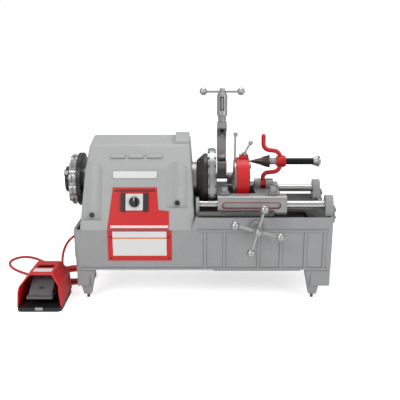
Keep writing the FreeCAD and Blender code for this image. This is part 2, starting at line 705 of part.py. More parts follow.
def rear_jaws():
    x0 = REAR_JAW_X[0] + (REAR_JAW_X[1] - REAR_JAW_X[0] - JAW_DEEP) / 2
    low, high = AXIS_Z + JAW_OPEN_R, AXIS_Z + JAW_OPEN_R + JAW_LONG
    half = JAW_WIDE / 2
    points = [(-4, low), (4, low), (half, low + 10), (half, high), (-half, high), (-half, low + 10)]
    one = rounded(prism_x(points, (x0, x0 + JAW_DEEP)), 4.0, X_AXIS, lambda c: c.z > high - 1)
    return around_axis(one, 3, 60.0)


# ---- headstock plates and drive ----

def plate_with(x, points, holes):
    body = prism_x(points, x)
    return body.cut(Part.makeCompound([rod_x((x[0] - 1, x[1] + 1), y, z, r) for y, z, r in holes]))


def front_plate():
    low = LEFT_FLOOR_Z
    points = [(-100, low), (130, low), (110, COUNTER_Z + 30), (66, AXIS_Z + 30), (40, AXIS_Z + BEARING_R + 10),
              (-40, AXIS_Z + BEARING_R + 10), (-72, AXIS_Z), (-100, low + 60)]
    return plate_with(FRONT_PLATE_X, points, [(0, AXIS_Z, BEARING_R), (COUNTER_Y, COUNTER_Z, 17.0)])


def rear_plate():
    low = LEFT_FLOOR_Z
    points = [(-90, low), (33, low), (33, 330), (64, AXIS_Z), (40, AXIS_Z + BEARING_R + 10),
              (-40, AXIS_Z + BEARING_R + 10), (-68, AXIS_Z), (-90, low + 60)]
    return plate_with(REAR_PLATE_X, points, [(0, AXIS_Z, BEARING_R)])


def motor_plate():
    low = LEFT_FLOOR_Z
    points = [(20, low), (148, low), (148, 262), (126, 300), (100, COUNTER_Z + 34), (40, COUNTER_Z + 34),
              (20, COUNTER_Z - 20)]
    return plate_with(MOTOR_PLATE_X, points, [(COUNTER_Y, COUNTER_Z, 17.0), (MOTOR_Y, MOTOR_Z, 17.0)])


def motor_body():
    shell = rod_x(MOTOR_X, MOTOR_Y, MOTOR_Z, MOTOR_R)
    hollow = rod_x((MOTOR_X[0] + 6, MOTOR_X[1] - 6), MOTOR_Y, MOTOR_Z, MOTOR_R - 12)
    shaft = rod_x((MOTOR_X[0] + 3, MOTOR_X[1] + 1), MOTOR_Y, MOTOR_Z, MOTOR_SHAFT_R + RUN_GAP)
    fins = [ring_x((x, x + 4), MOTOR_Y, MOTOR_Z, MOTOR_R - 3, MOTOR_R + 1) for x in range(-380, -260, 12)]
    return shell.cut(Part.makeCompound([hollow, shaft] + fins))


def motor_foot():
    y = (MOTOR_Y - 40, MOTOR_Y + 40)
    saddle = block((-370, -275), y, (LEFT_FLOOR_Z, MOTOR_Z - 20))
    return saddle.cut(rod_x((-380, -260), MOTOR_Y, MOTOR_Z, MOTOR_R + FACE_GAP / 3))


def motor_rotor():
    x = (MOTOR_X[0] + 3.5, SECOND_X + SECOND_WIDTH / 2 + 4)
    shaft = rod_x(x, MOTOR_Y, MOTOR_Z, MOTOR_SHAFT_R)
    core = rod_x((MOTOR_X[0] + 20, MOTOR_X[1] - 20), MOTOR_Y, MOTOR_Z, MOTOR_R - 16)
    return shaft.fuse(core)


def motor_pinion():
    phase = SECOND_MESH + math.pi + math.pi / MOTOR_TEETH
    gear = gear_x(SECOND_MODULE, MOTOR_TEETH, phase, SECOND_X, SECOND_WIDTH, MOTOR_Y, MOTOR_Z)
    return gear.cut(rod_x((SECOND_X - 20, SECOND_X + 20), MOTOR_Y, MOTOR_Z, MOTOR_SHAFT_R))


def counter_shaft():
    return rod_x((MOTOR_PLATE_X[0], PUMP_X[1] - 3), COUNTER_Y, COUNTER_Z, COUNTER_R)


def counter_pinion():
    phase = FIRST_MESH + math.pi + math.pi / PINION_TEETH
    gear = gear_x(GEAR_MODULE, PINION_TEETH, phase, GEAR_X, GEAR_WIDTH + 2, COUNTER_Y, COUNTER_Z)
    return gear.cut(rod_x((GEAR_X - 20, GEAR_X + 20), COUNTER_Y, COUNTER_Z, COUNTER_R))


def counter_gear():
    gear = gear_x(SECOND_MODULE, COUNTER_TEETH, SECOND_MESH, SECOND_X, SECOND_WIDTH, COUNTER_Y, COUNTER_Z)
    return gear.cut(rod_x((SECOND_X - 20, SECOND_X + 20), COUNTER_Y, COUNTER_Z, COUNTER_R))


def counter_bearings():
    return [bearing_ring(x, COUNTER_Y, COUNTER_Z, COUNTER_R + RUN_GAP, 17.0) for x in (MOTOR_PLATE_X, FRONT_PLATE_X)]


PUMP_X = (FRONT_PLATE_X[1], FRONT_PLATE_X[1] + 26.0)


def oil_pump():
    """Pump housing on the front plate, driven by the countershaft's end."""
    body = rod_x(PUMP_X, COUNTER_Y, COUNTER_Z, 26.0)
    pipe = rod_z((LEFT_FLOOR_Z + 16, COUNTER_Z), (PUMP_X[0] + PUMP_X[1]) / 2, COUNTER_Y, 6.0)
    strainer = rod_z((LEFT_FLOOR_Z, LEFT_FLOOR_Z + 16), (PUMP_X[0] + PUMP_X[1]) / 2, COUNTER_Y, 12.0)
    bore = rod_x((PUMP_X[0] - 1, PUMP_X[1] - 2.5), COUNTER_Y, COUNTER_Z, COUNTER_R + RUN_GAP)
    return body.fuse([pipe, strainer]).cut(bore)


# ---- carriage ----

LUGS_X = [(60.0, 64.0), (103.0, 121.0), (177.0, 190.0)]
REAM_LUGS = [(203.0, 225.0), (245.0, 272.0)]
REAM_PIN_R = 7.0


def carriage():
    x = CAR_X
    front = rounded(block(x, FRONT_SLEEVE_Y, SLEEVE_Z), 12.0, X_AXIS)
    pocket = block((x[0] + 14, x[1] - 20), (FRONT_SLEEVE_Y[0] - 1, FRONT_SLEEVE_Y[0] + 6),
                   (RAIL_Z - 8, RAIL_Z + 16))
    front = front.cut(rounded(pocket, 11.0, Y_AXIS))
    rear = rounded(block(x, REAR_SLEEVE_Y, (SLEEVE_Z[0], REAR_SLEEVE_TOP)), 10.0, X_AXIS)
    bridges = [block(b, (FRONT_SLEEVE_Y[1] - 4, REAR_SLEEVE_Y[0] + 4), BRIDGE_Z) for b in BRIDGES]
    lugs = [tool_lug(lug) for lug in LUGS_X] + [reamer_lug(lug) for lug in REAM_LUGS]
    body = front.fuse([rear] + bridges + lugs)
    y, z = TOOL_SHAFT
    bores = [rod_x((x[0] - 1, x[1] + 1), s * RAIL_Y, RAIL_Z, RAIL_R + RUN_GAP) for s in (-1, 1)]
    bores += [rod_x((LUGS_X[0][0] - 1, LUGS_X[2][1] + 1), y, z, TOOL_SHAFT_R)]
    bores += [rod_x((REAM_LUGS[0][0] - 1, REAM_LUGS[1][1] + 1), REAM_PIVOT[0], REAM_PIVOT[1], REAM_PIN_R)]
    return body.cut(Part.makeCompound(bores)).removeSplitter()


def tool_lug(x):
    y, z = TOOL_SHAFT
    return block(x, (y - 17, y + 17), (REAR_SLEEVE_TOP - 6, z)).fuse(rod_x(x, y, z, 17.0))


def reamer_lug(x):
    y, z = REAM_PIVOT
    return block(x, (y - 18, y + 18), (BRIDGE_Z[1] - 4, z)).fuse(rod_x(x, y, z, 18.0))


def tool_shaft():
    y, z = TOOL_SHAFT
    return rod_x((LUGS_X[0][0] - 2, LUGS_X[2][1] + 2), y, z, TOOL_SHAFT_R)


def reamer_pin():
    return rod_x((REAM_LUGS[0][0] - 2, REAM_LUGS[1][1] + 2), REAM_PIVOT[0], REAM_PIVOT[1], REAM_PIN_R)


REST_POSTS = [(85.0, 390.5), (250.0, 395.0)]
REST_Y = -113.0


def rest_posts():
    posts = []
    for x, top in REST_POSTS:
        foot = mid_block(x, REST_Y, SLEEVE_Z[1] + 5, 30, 26, 10)
        post = mid_block(x, REST_Y, (SLEEVE_Z[1] + 8 + top) / 2, 20, 18, top - SLEEVE_Z[1] - 8)
        posts.append(rounded(foot.fuse(post), 3.0, Z_AXIS))
    return posts


def rack_bar():
    """Toothed bar bolted to the front of the carriage, teeth down."""
    pitch = math.pi * RACK_MODULE
    pitch_z = HAND_Z + RACK_MODULE * RACK_PINION_TEETH / 2
    root_z = pitch_z + 1.25 * RACK_MODULE
    tip_z = pitch_z - 0.9 * RACK_MODULE
    lean = math.tan(math.radians(20))
    half = pitch / 4 - RACK_MODULE * BACKLASH / 2
    body = block(RACK_X, RACK_Y, (root_z, root_z + 18))
    teeth = []
    first = math.ceil((RACK_X[0] + pitch - HAND_X) / pitch)
    last = math.floor((RACK_X[1] - pitch - HAND_X) / pitch)
    for i in range(first, last + 1):
        c = HAND_X + i * pitch
        top, tip = half + (root_z - pitch_z) * lean, half - (pitch_z - tip_z) * lean
        points = [(c - top, root_z + 1), (c - top, root_z), (c - tip, tip_z), (c + tip, tip_z),
                  (c + top, root_z), (c + top, root_z + 1)]
        teeth.append(prism_y(points, RACK_Y))
    return body.fuse(teeth).removeSplitter()


def rack_screws():
    return [rod_y((RACK_Y[0] - 4, RACK_Y[0]), x, HAND_Z + 37, 5.0) for x in (80.0, 160.0, 240.0)]


def hand_pinion():
    """Pinion on the handwheel's shaft, a gap between its teeth facing the rack tooth above."""
    phase = math.pi / 2 + math.pi / RACK_PINION_TEETH
    outline = gear_points(RACK_MODULE, RACK_PINION_TEETH, phase)
    gear = prism_y([(HAND_X + a, HAND_Z + b) for a, b in outline], RACK_Y)
    shaft = rod_y((HAND_HUB_Y + 14, RACK_Y[1] + 4), HAND_X, HAND_Z, 8.0)
    return gear.fuse(shaft).removeSplitter()


def star_handwheel():
    hub = rod_y((HAND_HUB_Y - 12, HAND_HUB_Y + 26), HAND_X, HAND_Z, 13.4)
    cap = ball(HAND_X, HAND_HUB_Y - 12, HAND_Z, 11.0)
    spoke = rod_z((HAND_Z, HAND_Z + HAND_BALL_CIRCLE - 4), HAND_X, HAND_HUB_Y, 5.5)
    body = hub.fuse([cap] + around_hub(spoke))
    return body.cut(rod_y((HAND_HUB_Y + 14, HAND_HUB_Y + 30), HAND_X, HAND_Z, 8.0)).removeSplitter()


def around_hub(shape):
    """Four copies round the handwheel's hub."""
    return [turned(shape, V(HAND_X, HAND_HUB_Y, HAND_Z), Y_AXIS, HAND_TURN + 90 * i) for i in range(4)]


def handwheel_balls():
    spoke = rod_z((HAND_Z, HAND_Z + HAND_BALL_CIRCLE - 4), HAND_X, HAND_HUB_Y, 5.5)
    return around_hub(ball(HAND_X, HAND_HUB_Y, HAND_Z + HAND_BALL_CIRCLE, HAND_BALL_R).cut(spoke))


# ---- cutter: modelled upright over the tool shaft, then leant back ----

CUT_Y, CUT_PIVOT_Z = TOOL_SHAFT
GAP_Z = CUT_PIVOT_Z + WORK_R
ROLLER_R = 11.0
ROLLER_DROP = 46.0        # roller axes below the pipe's centre when fully open
ROLLER_SPREAD = 15.0
WHEEL_RISE = 44.0
CUT_WHEEL_R = 14.0
SLIDE_HALF_X = 13.0       # the wheel's block, guided inside the frame's head
SLIDE_HALF_Y = 17.0
SLIDE_TOP = 17.5
FEED_STROKE = 24.0
NECK_R = 15.0
NECK_TOP = 128.0          # above the pipe's centre


def leant(shape):
    return turned(shape, V(0, CUT_Y, CUT_PIVOT_Z), X_AXIS, -LEAN)


def cutter_body():
    """Swinging frame: pivot hub, lower housing, open throat at the front and the feed screw's neck."""
    x = (CUT_X - CUT_HALF, CUT_X + CUT_HALF)
    hub = rod_x(x, CUT_Y, CUT_PIVOT_Z, HUB_R)
    back = [(CUT_Y + HUB_R, CUT_PIVOT_Z), (CUT_Y + 50, CUT_PIVOT_Z + 50), (CUT_Y + 58, GAP_Z),
            (CUT_Y + 50, GAP_Z + 62), (CUT_Y + 19, GAP_Z + 84), (CUT_Y - 19, GAP_Z + 84), (CUT_Y - 22, GAP_Z + 62),
            (CUT_Y + 20, GAP_Z + 48), (CUT_Y + 34, GAP_Z + 30), (CUT_Y + 36, GAP_Z - 34),
            (CUT_Y + 30, GAP_Z - 60), (CUT_Y - 30, GAP_Z - 60), (CUT_Y - 30, CUT_PIVOT_Z + 34),
            (CUT_Y - HUB_R, CUT_PIVOT_Z)]
    body = rounded(prism_x(back, x), 6.0, X_AXIS, lambda c: abs(c.z - CUT_PIVOT_Z) > 3)
    neck = rod_z((GAP_Z + 80, GAP_Z + NECK_TOP), CUT_X, CUT_Y, NECK_R)
    bore = rod_z((GAP_Z + 40, GAP_Z + 140), CUT_X, CUT_Y, 6.0 + RUN_GAP)
    shaft = rod_x((x[0] - 1, x[1] + 1), CUT_Y, CUT_PIVOT_Z, TOOL_SHAFT_R + RUN_GAP)
    hole = rod_x((x[0] - 1, x[1] + 1), CUT_Y, CUT_PIVOT_Z + 42, 7.0)
    half_x, half_y = SLIDE_HALF_X + FACE_GAP, SLIDE_HALF_Y + FACE_GAP
    guide = block((CUT_X - half_x, CUT_X + half_x), (CUT_Y - half_y, CUT_Y + half_y),
                  (GAP_Z + 20, GAP_Z + WHEEL_RISE + SLIDE_TOP + FACE_GAP))
    return leant(body.fuse(neck).cut(Part.makeCompound([bore, shaft, hole, guide])).removeSplitter())


def roller_block():
    """Block on the lower housing that carries the two rollers."""
    z = GAP_Z - 60
    base = block((CUT_X - 15, CUT_X + 15), (CUT_Y - 23, CUT_Y + 23), (z, z + 2.5))
    ears = []
    for x in ((CUT_X - 15, CUT_X - 11), (CUT_X + 11, CUT_X + 15)):
        ears.append(block(x, (CUT_Y - 23, CUT_Y + 23), (z + 2, z + 18)))
    pins = [rod_x((CUT_X - 15, CUT_X + 15), CUT_Y + s * ROLLER_SPREAD, GAP_Z - ROLLER_DROP, 3.0) for s in (-1, 1)]
    return leant(base.fuse(ears + pins).removeSplitter())


def cutter_roller(side):
    x = (CUT_X - 10.5, CUT_X + 10.5)
    y = CUT_Y + side * ROLLER_SPREAD
    return leant(ring_x(x, y, GAP_Z - ROLLER_DROP, 3.0 + RUN_GAP, ROLLER_R))


def wheel_block():
    """Slide that the feed screw pushes at the pipe, with the cutter wheel's fork."""
    z = GAP_Z + WHEEL_RISE
    y = CUT_Y
    x0, x1 = CUT_X - SLIDE_HALF_X, CUT_X + SLIDE_HALF_X
    head = block((x0, x1), (y - SLIDE_HALF_Y, y + SLIDE_HALF_Y), (z + CUT_WHEEL_R + 0.5, z + SLIDE_TOP))
    ears = [block(x, (y - 10, y + 10), (z - 6, z + SLIDE_TOP)) for x in ((x0, x0 + 6), (x1 - 6, x1))]
    pin = rod_x((x0, x1), y, z, 4.0)
    return leant(head.fuse(ears + [pin]).removeSplitter())


def cutter_wheel():
    z = GAP_Z + WHEEL_RISE
    hub = rod_x((CUT_X - 6.5, CUT_X + 6.5), CUT_Y, z, 7.0)
    blade = cone_x((CUT_X - 2.5, CUT_X), CUT_Y, z, CUT_WHEEL_R - 4, CUT_WHEEL_R)
    other = cone_x((CUT_X, CUT_X + 2.5), CUT_Y, z, CUT_WHEEL_R, CUT_WHEEL_R - 4)
    bore = rod_x((CUT_X - 8, CUT_X + 8), CUT_Y, z, 4.0 + RUN_GAP)
    return leant(hub.fuse([blade, other]).cut(bore).removeSplitter())


def feed_screw():
    """Screw with a sleeve and T-bar above the neck."""
    low = GAP_Z + WHEEL_RISE + SLIDE_TOP + FACE_GAP
    end = CUT_PIVOT_Z + CUT_END
    foot = GAP_Z + 86 + FEED_STROKE
    room = rod_z((foot - 1, GAP_Z + NECK_TOP + FEED_STROKE + 2), CUT_X, CUT_Y, NECK_R + FACE_GAP)
    screw = rod_z((low, end + 6), CUT_X, CUT_Y, 6.0)
    sleeve = rod_z((foot, end - 14), CUT_X, CUT_Y, 19.0).cut(room)
    top = Part.makeCone(19.0, 11.0, 14, V(CUT_X, CUT_Y, end - 14), Z_AXIS)
    bar = rod_x((CUT_X - CUT_BALL_SPAN / 2, CUT_X + CUT_BALL_SPAN / 2), CUT_Y, end, 4.3)
    knob = rod_z((end, end + 12), CUT_X, CUT_Y, 9.0)
    return leant(screw.fuse([sleeve, top, bar, knob]).removeSplitter())


def feed_balls():
    end = CUT_PIVOT_Z + CUT_END
    bar = rod_x((CUT_X - CUT_BALL_SPAN / 2, CUT_X + CUT_BALL_SPAN / 2), CUT_Y, end, 4.3)
    return [leant(ball(CUT_X + s * CUT_BALL_SPAN / 2, CUT_Y, end, 14.0).cut(bar)) for s in (-1, 1)]


# ---- die head ----

def ring_head():
    """Die head ring with its hinge arm, sat square on the spindle axis."""
    y, z = TOOL_SHAFT
    ring = rod_x(DIE_X, 0, AXIS_Z, DIE_HEAD_R)
    hub = rod_x((LUGS_X[1][1] + FACE_GAP, DIE_X[1] + 4), y, z, HUB_R)
    arm_x = (DIE_X[0] + 4, DIE_X[1])
    arm = prism_x([(50, AXIS_Z + 40), (y + 4, z + HUB_R - 1), (y + 4, z - HUB_R + 2), (60, AXIS_Z - 30)], arm_x)
    boss = block((DIE_X[0] + 12, DIE_X[1]), (-14, 14), (AXIS_Z + DIE_HEAD_R - 8, AXIS_Z + DIE_HEAD_R + 10))
    body = ring.fuse([hub, arm, boss])
    throat = rod_x((DIE_X[0] - 1, DIE_X[1] + 1), 0, AXIS_Z, DIE_HOLE_R)
    bore = rod_x((100, 200), y, z, TOOL_SHAFT_R + RUN_GAP)
    slots = around_axis(die_slot(), DIES, 45.0)
    stem = rod_z((LOCK_Z - 14, LOCK_Z + 1), DIE_X[1] - 14, 0, 4.0 + RUN_GAP)
    return body.cut(Part.makeCompound([throat, bore, stem] + slots)).removeSplitter()


DIE_THICK = 12.0
DIE_WIDE = 20.0
DIE_LONG = 34.0
DIE_STROKE = 6.0


def die_slot():
    w = DIE_WIDE / 2 + FACE_GAP
    low = AXIS_Z + DIE_OPEN
    return block((DIE_X[0] - 1, DIE_X[0] + DIE_THICK + 2 * FACE_GAP + 2), (-w, w),
                 (low, low + DIE_LONG + DIE_STROKE + 2))


def dies():
    low, high = AXIS_Z + DIE_OPEN, AXIS_Z + DIE_OPEN + DIE_LONG
    x0 = DIE_X[0] + 2
    w = DIE_WIDE / 2
    body = prism_x([(-w + 3, low), (w - 3, low), (w, low + 6), (w, high), (-w, high), (-w, low + 6)],
                   (x0, x0 + DIE_THICK))
    teeth = [rod_y((-w - 1, w + 1), x0 + 1.5 + 2.4 * i, low, 0.9) for i in range(4)]
    return around_axis(body.cut(Part.makeCompound(teeth)), DIES, 45.0)


def cam_plate():
    """Cam ring on the die head's left face with the tapered throwout lever."""
    x = (DIE_X[0] - 6, DIE_X[0] - FACE_GAP)
    ring = ring_x(x, 0, AXIS_Z, DIE_HOLE_R + 2, DIE_HEAD_R - 6)
    lever_x = (x[0] + 0.5, x[0] + 5.5)
    z0 = AXIS_Z + DIE_HEAD_R - 14
    lever = prism_x([(-16, z0), (16, z0), (8, 550), (-8, 550)], (x[0], x[1]))
    tip = rod_x((x[0], x[1]), 0, 551.0, 9.0)
    turned_tip = block((x[0] - 3, x[1] + 5), (-8, 8), (549.0, 561.0))
    return ring.fuse([lever, tip, rounded(turned_tip, 3.0, Y_AXIS)]).removeSplitter()


def die_bolts():
    """Square-headed bolts on the right face of the die head."""
    bolts = []
    for a in (30.0, 150.0, 210.0, 330.0):
        head = mid_block(DIE_X[1] + 4, 0, AXIS_Z + 61, 8, 12, 12)
        bolts.append(turned(head, V(0, 0, AXIS_Z), X_AXIS, a))
    return bolts


def die_plate():
    """Plate on the right face of the head that covers the dies' backs."""
    x = (DIE_X[1], DIE_X[1] + 3)
    ring = ring_x(x, 0, AXIS_Z, DIE_HOLE_R + 3, DIE_HEAD_R - 3)
    gaps = around_axis(mid_block(DIE_X[1] + 1, 0, AXIS_Z + 61, 8, 12.4, 12.4), 1)
    spaces = [turned(gaps[0], V(0, 0, AXIS_Z), X_AXIS, a) for a in (30.0, 150.0, 210.0, 330.0)]
    return ring.cut(Part.makeCompound(spaces))


LOCK_Z = AXIS_Z + DIE_HEAD_R + 10


def lock_lever():
    """Size-lock lever with a ball, on top of the die head."""
    x = DIE_X[1] - 14
    stem = rod_z((LOCK_Z - 14, LOCK_Z + 4), x, 0, 4.0)
    foot = rod_z((LOCK_Z + FACE_GAP, LOCK_Z + 8), x, 0, 9.0)
    start, end = V(x, 0, LOCK_Z + 5), V(x + 22, 0, LOCK_Z + 44)
    out = end - start
    arm = Part.makeCylinder(3.5, out.Length, start, out)
    return foot.fuse([stem, arm, Part.makeSphere(8.0, end)]).removeSplitter()


# ---- reamer: modelled upright over its pin, then leant back ----

REAM_Y, REAM_Z = REAM_PIVOT
REAM_AXIS_Z = REAM_Z + REAM_HUB
REAM_HUB_X = (243.0, 318.0)


def ream_leant(shape):
    return turned(shape, V(0, REAM_Y, REAM_Z), X_AXIS, -LEAN)


YOKE_R = 8.0
YOKE_OUT = 54.0           # how far the yoke bows out to the shaft's sleeve
YOKE_RISE = 44.0          # half the height of the bow
ARM_LONG = 176.0


def yoke_half(side):
    """Half of the bent rod: from the sleeve it bows back to the arm's line and runs to its end."""
    x = (REAM_ARM_X[0] + REAM_ARM_X[1]) / 2
    end = REAM_Z + (ARM_LONG if side > 0 else 0.0)
    line = [(x + YOKE_OUT + 14, REAM_AXIS_Z + side * 10), (x + YOKE_OUT, REAM_AXIS_Z + side * (YOKE_RISE - 6)),
            (x, REAM_AXIS_Z + side * YOKE_RISE), (x, end)]
    return bent_rod([V(px, REAM_Y, pz) for px, pz in line], YOKE_R)[0]


def reamer_arm():
    """Bent-rod yoke with its pivot hub below and the shaft's sleeve in the middle of the bow."""
    hub = rod_x((REAM_LUGS[0][1] + FACE_GAP, REAM_LUGS[1][0] - FACE_GAP), REAM_Y, REAM_Z, 15.0)
    sleeve = rod_x((REAM_HUB_X[1] - 34, REAM_HUB_X[1]), REAM_Y, REAM_AXIS_Z, REAM_SHAFT_R + 7)
    collar = rod_x((REAM_HUB_X[1] - 10, REAM_HUB_X[1] - 4), REAM_Y, REAM_AXIS_Z, REAM_SHAFT_R + 10)
    tip = ball((REAM_ARM_X[0] + REAM_ARM_X[1]) / 2, REAM_Y, REAM_Z + ARM_LONG, YOKE_R)
    body = hub.fuse([yoke_half(1), yoke_half(-1), sleeve, collar, tip])
    bore = rod_x((REAM_CONE[1], REAM_HUB_X[1] + 2), REAM_Y, REAM_AXIS_Z, REAM_SHAFT_R + RUN_GAP)
    pin = rod_x((200, 280), REAM_Y, REAM_Z, REAM_PIN_R + RUN_GAP)
    return ream_leant(body.cut(Part.makeCompound([bore, pin])))


def reamer_tool():
    """Fluted cone on its shaft, with the latch knob at the far end."""
    tip, base, r = REAM_CONE
    cone = cone_x((tip, base), REAM_Y, REAM_AXIS_Z, 3.0, r)
    flutes = []
    for i in range(5):
        cut = block((tip - 5, base - 6), (REAM_Y - 1.5, REAM_Y + 14), (REAM_AXIS_Z + 2, REAM_AXIS_Z + 40))
        flutes.append(turned(cut, V(0, REAM_Y, REAM_AXIS_Z), X_AXIS, 72.0 * i))
    cone = cone.cut(Part.makeCompound(flutes))
    shaft = rod_x((base - 2, 425.0), REAM_Y, REAM_AXIS_Z, REAM_SHAFT_R)
    return ream_leant(cone.fuse(shaft).removeSplitter())


def reamer_knob():
    bore = rod_x((420.0, 425.0), REAM_Y, REAM_AXIS_Z, REAM_SHAFT_R)
    body = cone_x((421.0, 436.0), REAM_Y, REAM_AXIS_Z, 15.0, 19.0).fuse(
        rod_x((436.0, 448.0), REAM_Y, REAM_AXIS_Z, 11.0))
    pin = rod_z((REAM_AXIS_Z - 20, REAM_AXIS_Z + 20), 442.0, REAM_Y, 4.0)
    return ream_leant(body.fuse(pin).cut(bore).removeSplitter())


# ---- foot switch ----

PEDAL_HINGE = (-130.0, 30.0)


def foot_base():
    x, y = FOOT_X, FOOT_Y
    floor = rounded(block(x, y, (0, 14)), 16.0, Z_AXIS)
    box = rounded(block((x[0] + 30, x[1] - 30), (y[1] - 52, y[1] - 4), (12, 46)), 8.0, Z_AXIS)
    posts = [block((cx - 5, cx + 5), (PEDAL_HINGE[0] - 9, PEDAL_HINGE[0] + 9), (12, PEDAL_HINGE[1] + 9))
             for cx in (x[0] + 25, x[1] - 25)]
    pin = rod_x((x[0] + 10, x[1] - 10), PEDAL_HINGE[0], PEDAL_HINGE[1], 4.0)
    port = rod_y((y[1] - 14, y[1] + 2), FOOT_PORT_X, FOOT_PORT_Z, CORD_R + 4)
    box = box.cut(block((x[0], x[1]), (PEDAL_HINGE[0] - 22, PEDAL_HINGE[0] + 13), (14.0, 60)))
    return floor.fuse([box]).fuse(posts).cut(Part.makeCompound([pin, port])).removeSplitter()


FOOT_PORT_X = -539.0
FOOT_PORT_Z = 16.0
GUARD_WALL = 4.0


def foot_guard():
    """Domed guard over the pedal, open at the front, with a hand slot in its top."""
    x, y = FOOT_X, FOOT_Y
    low = 14.0
    def shell(inset):
        x0, x1 = x[0] + inset, x[1] - inset
        points = [(x0, low - (5 if inset else 0)), (x1, low - (5 if inset else 0)), (x1 - 6, FOOT_H - 34),
                  (x1 - 34, FOOT_H - inset), (x0 + 34, FOOT_H - inset), (x0 + 6, FOOT_H - 34)]
        solid = prism_y(points, (y[0] + 10 - (20 if inset else 0), y[1] - inset))
        return rounded(solid, 14.0 if inset == 0 else 10.0, Y_AXIS, lambda c: c.z > low + 10)
    body = shell(0.0).cut(shell(GUARD_WALL))
    slot = rounded(block((x[0] + 45, x[1] - 45), (y[1] - 62, y[1] - 34), (FOOT_H - 30, FOOT_H + 5)), 12.0, Z_AXIS)
    port = rod_y((y[1] - 20, y[1] + 5), FOOT_PORT_X, FOOT_PORT_Z, CORD_R + 4)
    nose = prism_x([(y[0], FOOT_H + 5), (y[0] + 60, FOOT_H + 5), (y[0], 58)], (x[0] - 5, x[1] + 5))
    return body.cut(Part.makeCompound([slot, port, nose]))


def pedal():
    x = (FOOT_X[0] + 32, FOOT_X[1] - 32)
    y, z = PEDAL_HINGE
    hub = rod_x((x[0], x[1]), y, z, 8.0)
    plate = prism_x([(y, z + 8), (FOOT_Y[0] + 14, z + 18), (FOOT_Y[0] + 14, z + 10), (y, z)], x)
    rubs = [block(x, (yy, yy + 5), (z + 8, z + 19)) for yy in (-245.0, -225.0, -205.0, -185.0)]
    skip = prism_x([(y, z + 11), (FOOT_Y[0] + 14, z + 21), (FOOT_Y[0] + 14, z + 60), (y, z + 60)],
                   (x[0] - 1, x[1] + 1))
    body = plate.fuse([r.cut(skip) for r in rubs] + [hub])
    return body.cut(rod_x((x[0] - 20, x[1] + 20), y, z, 4.0 + RUN_GAP)).removeSplitter()


def pedal_pin():
    x = FOOT_X
    return rod_x((x[0] + 12, x[1] - 12), PEDAL_HINGE[0], PEDAL_HINGE[1], 4.0)


def foot_latch():
    """Safety latch that stands in front of the pedal's hinge box."""
    y = FOOT_Y[1] - 66
    return mid_block(-539.0, y + 4, 20, 20, 8, 12)


# ---- cord ----

CORD_LEAD = [(BASE_X0 - 18, GLAND_Y, GLAND_Z), (-478.0, GLAND_Y, GLAND_Z), (-512.0, 106.0, 124.0),
             (-534.0, 110.0, 86.0), (-541.0, 98.0, 50.0), (-528.0, 76.0, 18.0)]
CORD_TAIL = [(-480.0, 107.0, CORD_R), (-545.0, 112.0, CORD_R), (-620.0, 160.0, CORD_R),
             (-682.0, 222.0, CORD_R), (-742.0, 240.0, CORD_R), (-780.0, 190.0, CORD_R),
             (-757.0, 122.0, CORD_R), (-694.0, 62.0, CORD_R), (-620.0, 24.0, CORD_R),
             (-562.0, -16.0, CORD_R + 3), (FOOT_PORT_X, -58.0, FOOT_PORT_Z), (FOOT_PORT_X, FOOT_Y[1] + 2, FOOT_PORT_Z)]


def bent_rod(corners, rod_r):
    """Round rod along straight runs joined by tangent arcs, with its length and the arcs' radii."""
    edges = []
    radii = []
    length = 0.0
    at = corners[0]
    for before, here, after in zip(corners, corners[1:], corners[2:]):
        come, go = here - before, after - here
        turn = come.getAngle(go)
        cut = 0.45 * min(come.Length, go.Length)
        come.normalize()
        go.normalize()
        radius = cut / math.tan(turn / 2)
        inward = go - come
        inward.normalize()
        start, end = here - come * cut, here + go * cut
        middle = here + inward * (radius / math.cos(turn / 2) - radius)
        edges.append(Part.LineSegment(at, start).toShape())
        edges.append(Part.Arc(start, middle, end).toShape())
        length += (start - at).Length + radius * turn
        radii.append(round(radius, 1))
        at = end
    edges.append(Part.LineSegment(at, corners[-1]).toShape())
    length += (corners[-1] - at).Length
    section = Part.Wire(Part.Circle(corners[0], corners[1] - corners[0], rod_r).toShape())
    return Part.Wire(edges).makePipeShell([section], True, False), length, radii


def cord_tube(points, name):
    tube, length, radii = bent_rod([V(*p) for p in points], CORD_R)
    share = tube.Volume / (math.pi * CORD_R ** 2 * length)
    print(name, "radii", radii, "length", round(length, 1), "volume share", round(share, 4))
    return tube


def cord_coil():
    x, y = COIL_AT
    section = Part.makePolygon([V(x + COIL_R - COIL_HALF, y, 0), V(x + COIL_R + COIL_HALF, y, 0),
                                V(x + COIL_R + COIL_HALF, y, COIL_H * 0.6), V(x + COIL_R + COIL_HALF * 0.5, y, COIL_H),
                                V(x + COIL_R - COIL_HALF * 0.5, y, COIL_H), V(x + COIL_R - COIL_HALF, y, COIL_H * 0.6),
                                V(x + COIL_R - COIL_HALF, y, 0)])
    return Part.Face(section).revolve(V(x, y, 0), Z_AXIS, 360)


def cord_gland():
    nut = prism_x([(GLAND_Y + 13 * math.cos(math.radians(a)), GLAND_Z + 13 * math.sin(math.radians(a)))
                   for a in range(0, 360, 60)], (BASE_X0 - 6, BASE_X0))
    sleeve = rod_x((BASE_X0 - 18, BASE_X0 + WALL), GLAND_Y, GLAND_Z, 8.0)
    return nut.fuse(sleeve).removeSplitter()


def foot_gland():
    y = FOOT_Y[1]
    body = rod_y((y - 14, y + 2), FOOT_PORT_X, FOOT_PORT_Z, CORD_R + 3.8)
    return body


# ---- write one file per sub-part ----

def fasteners():
    return hood_screws() + label_rivets() + bracket_screws() + [drain_plug()]


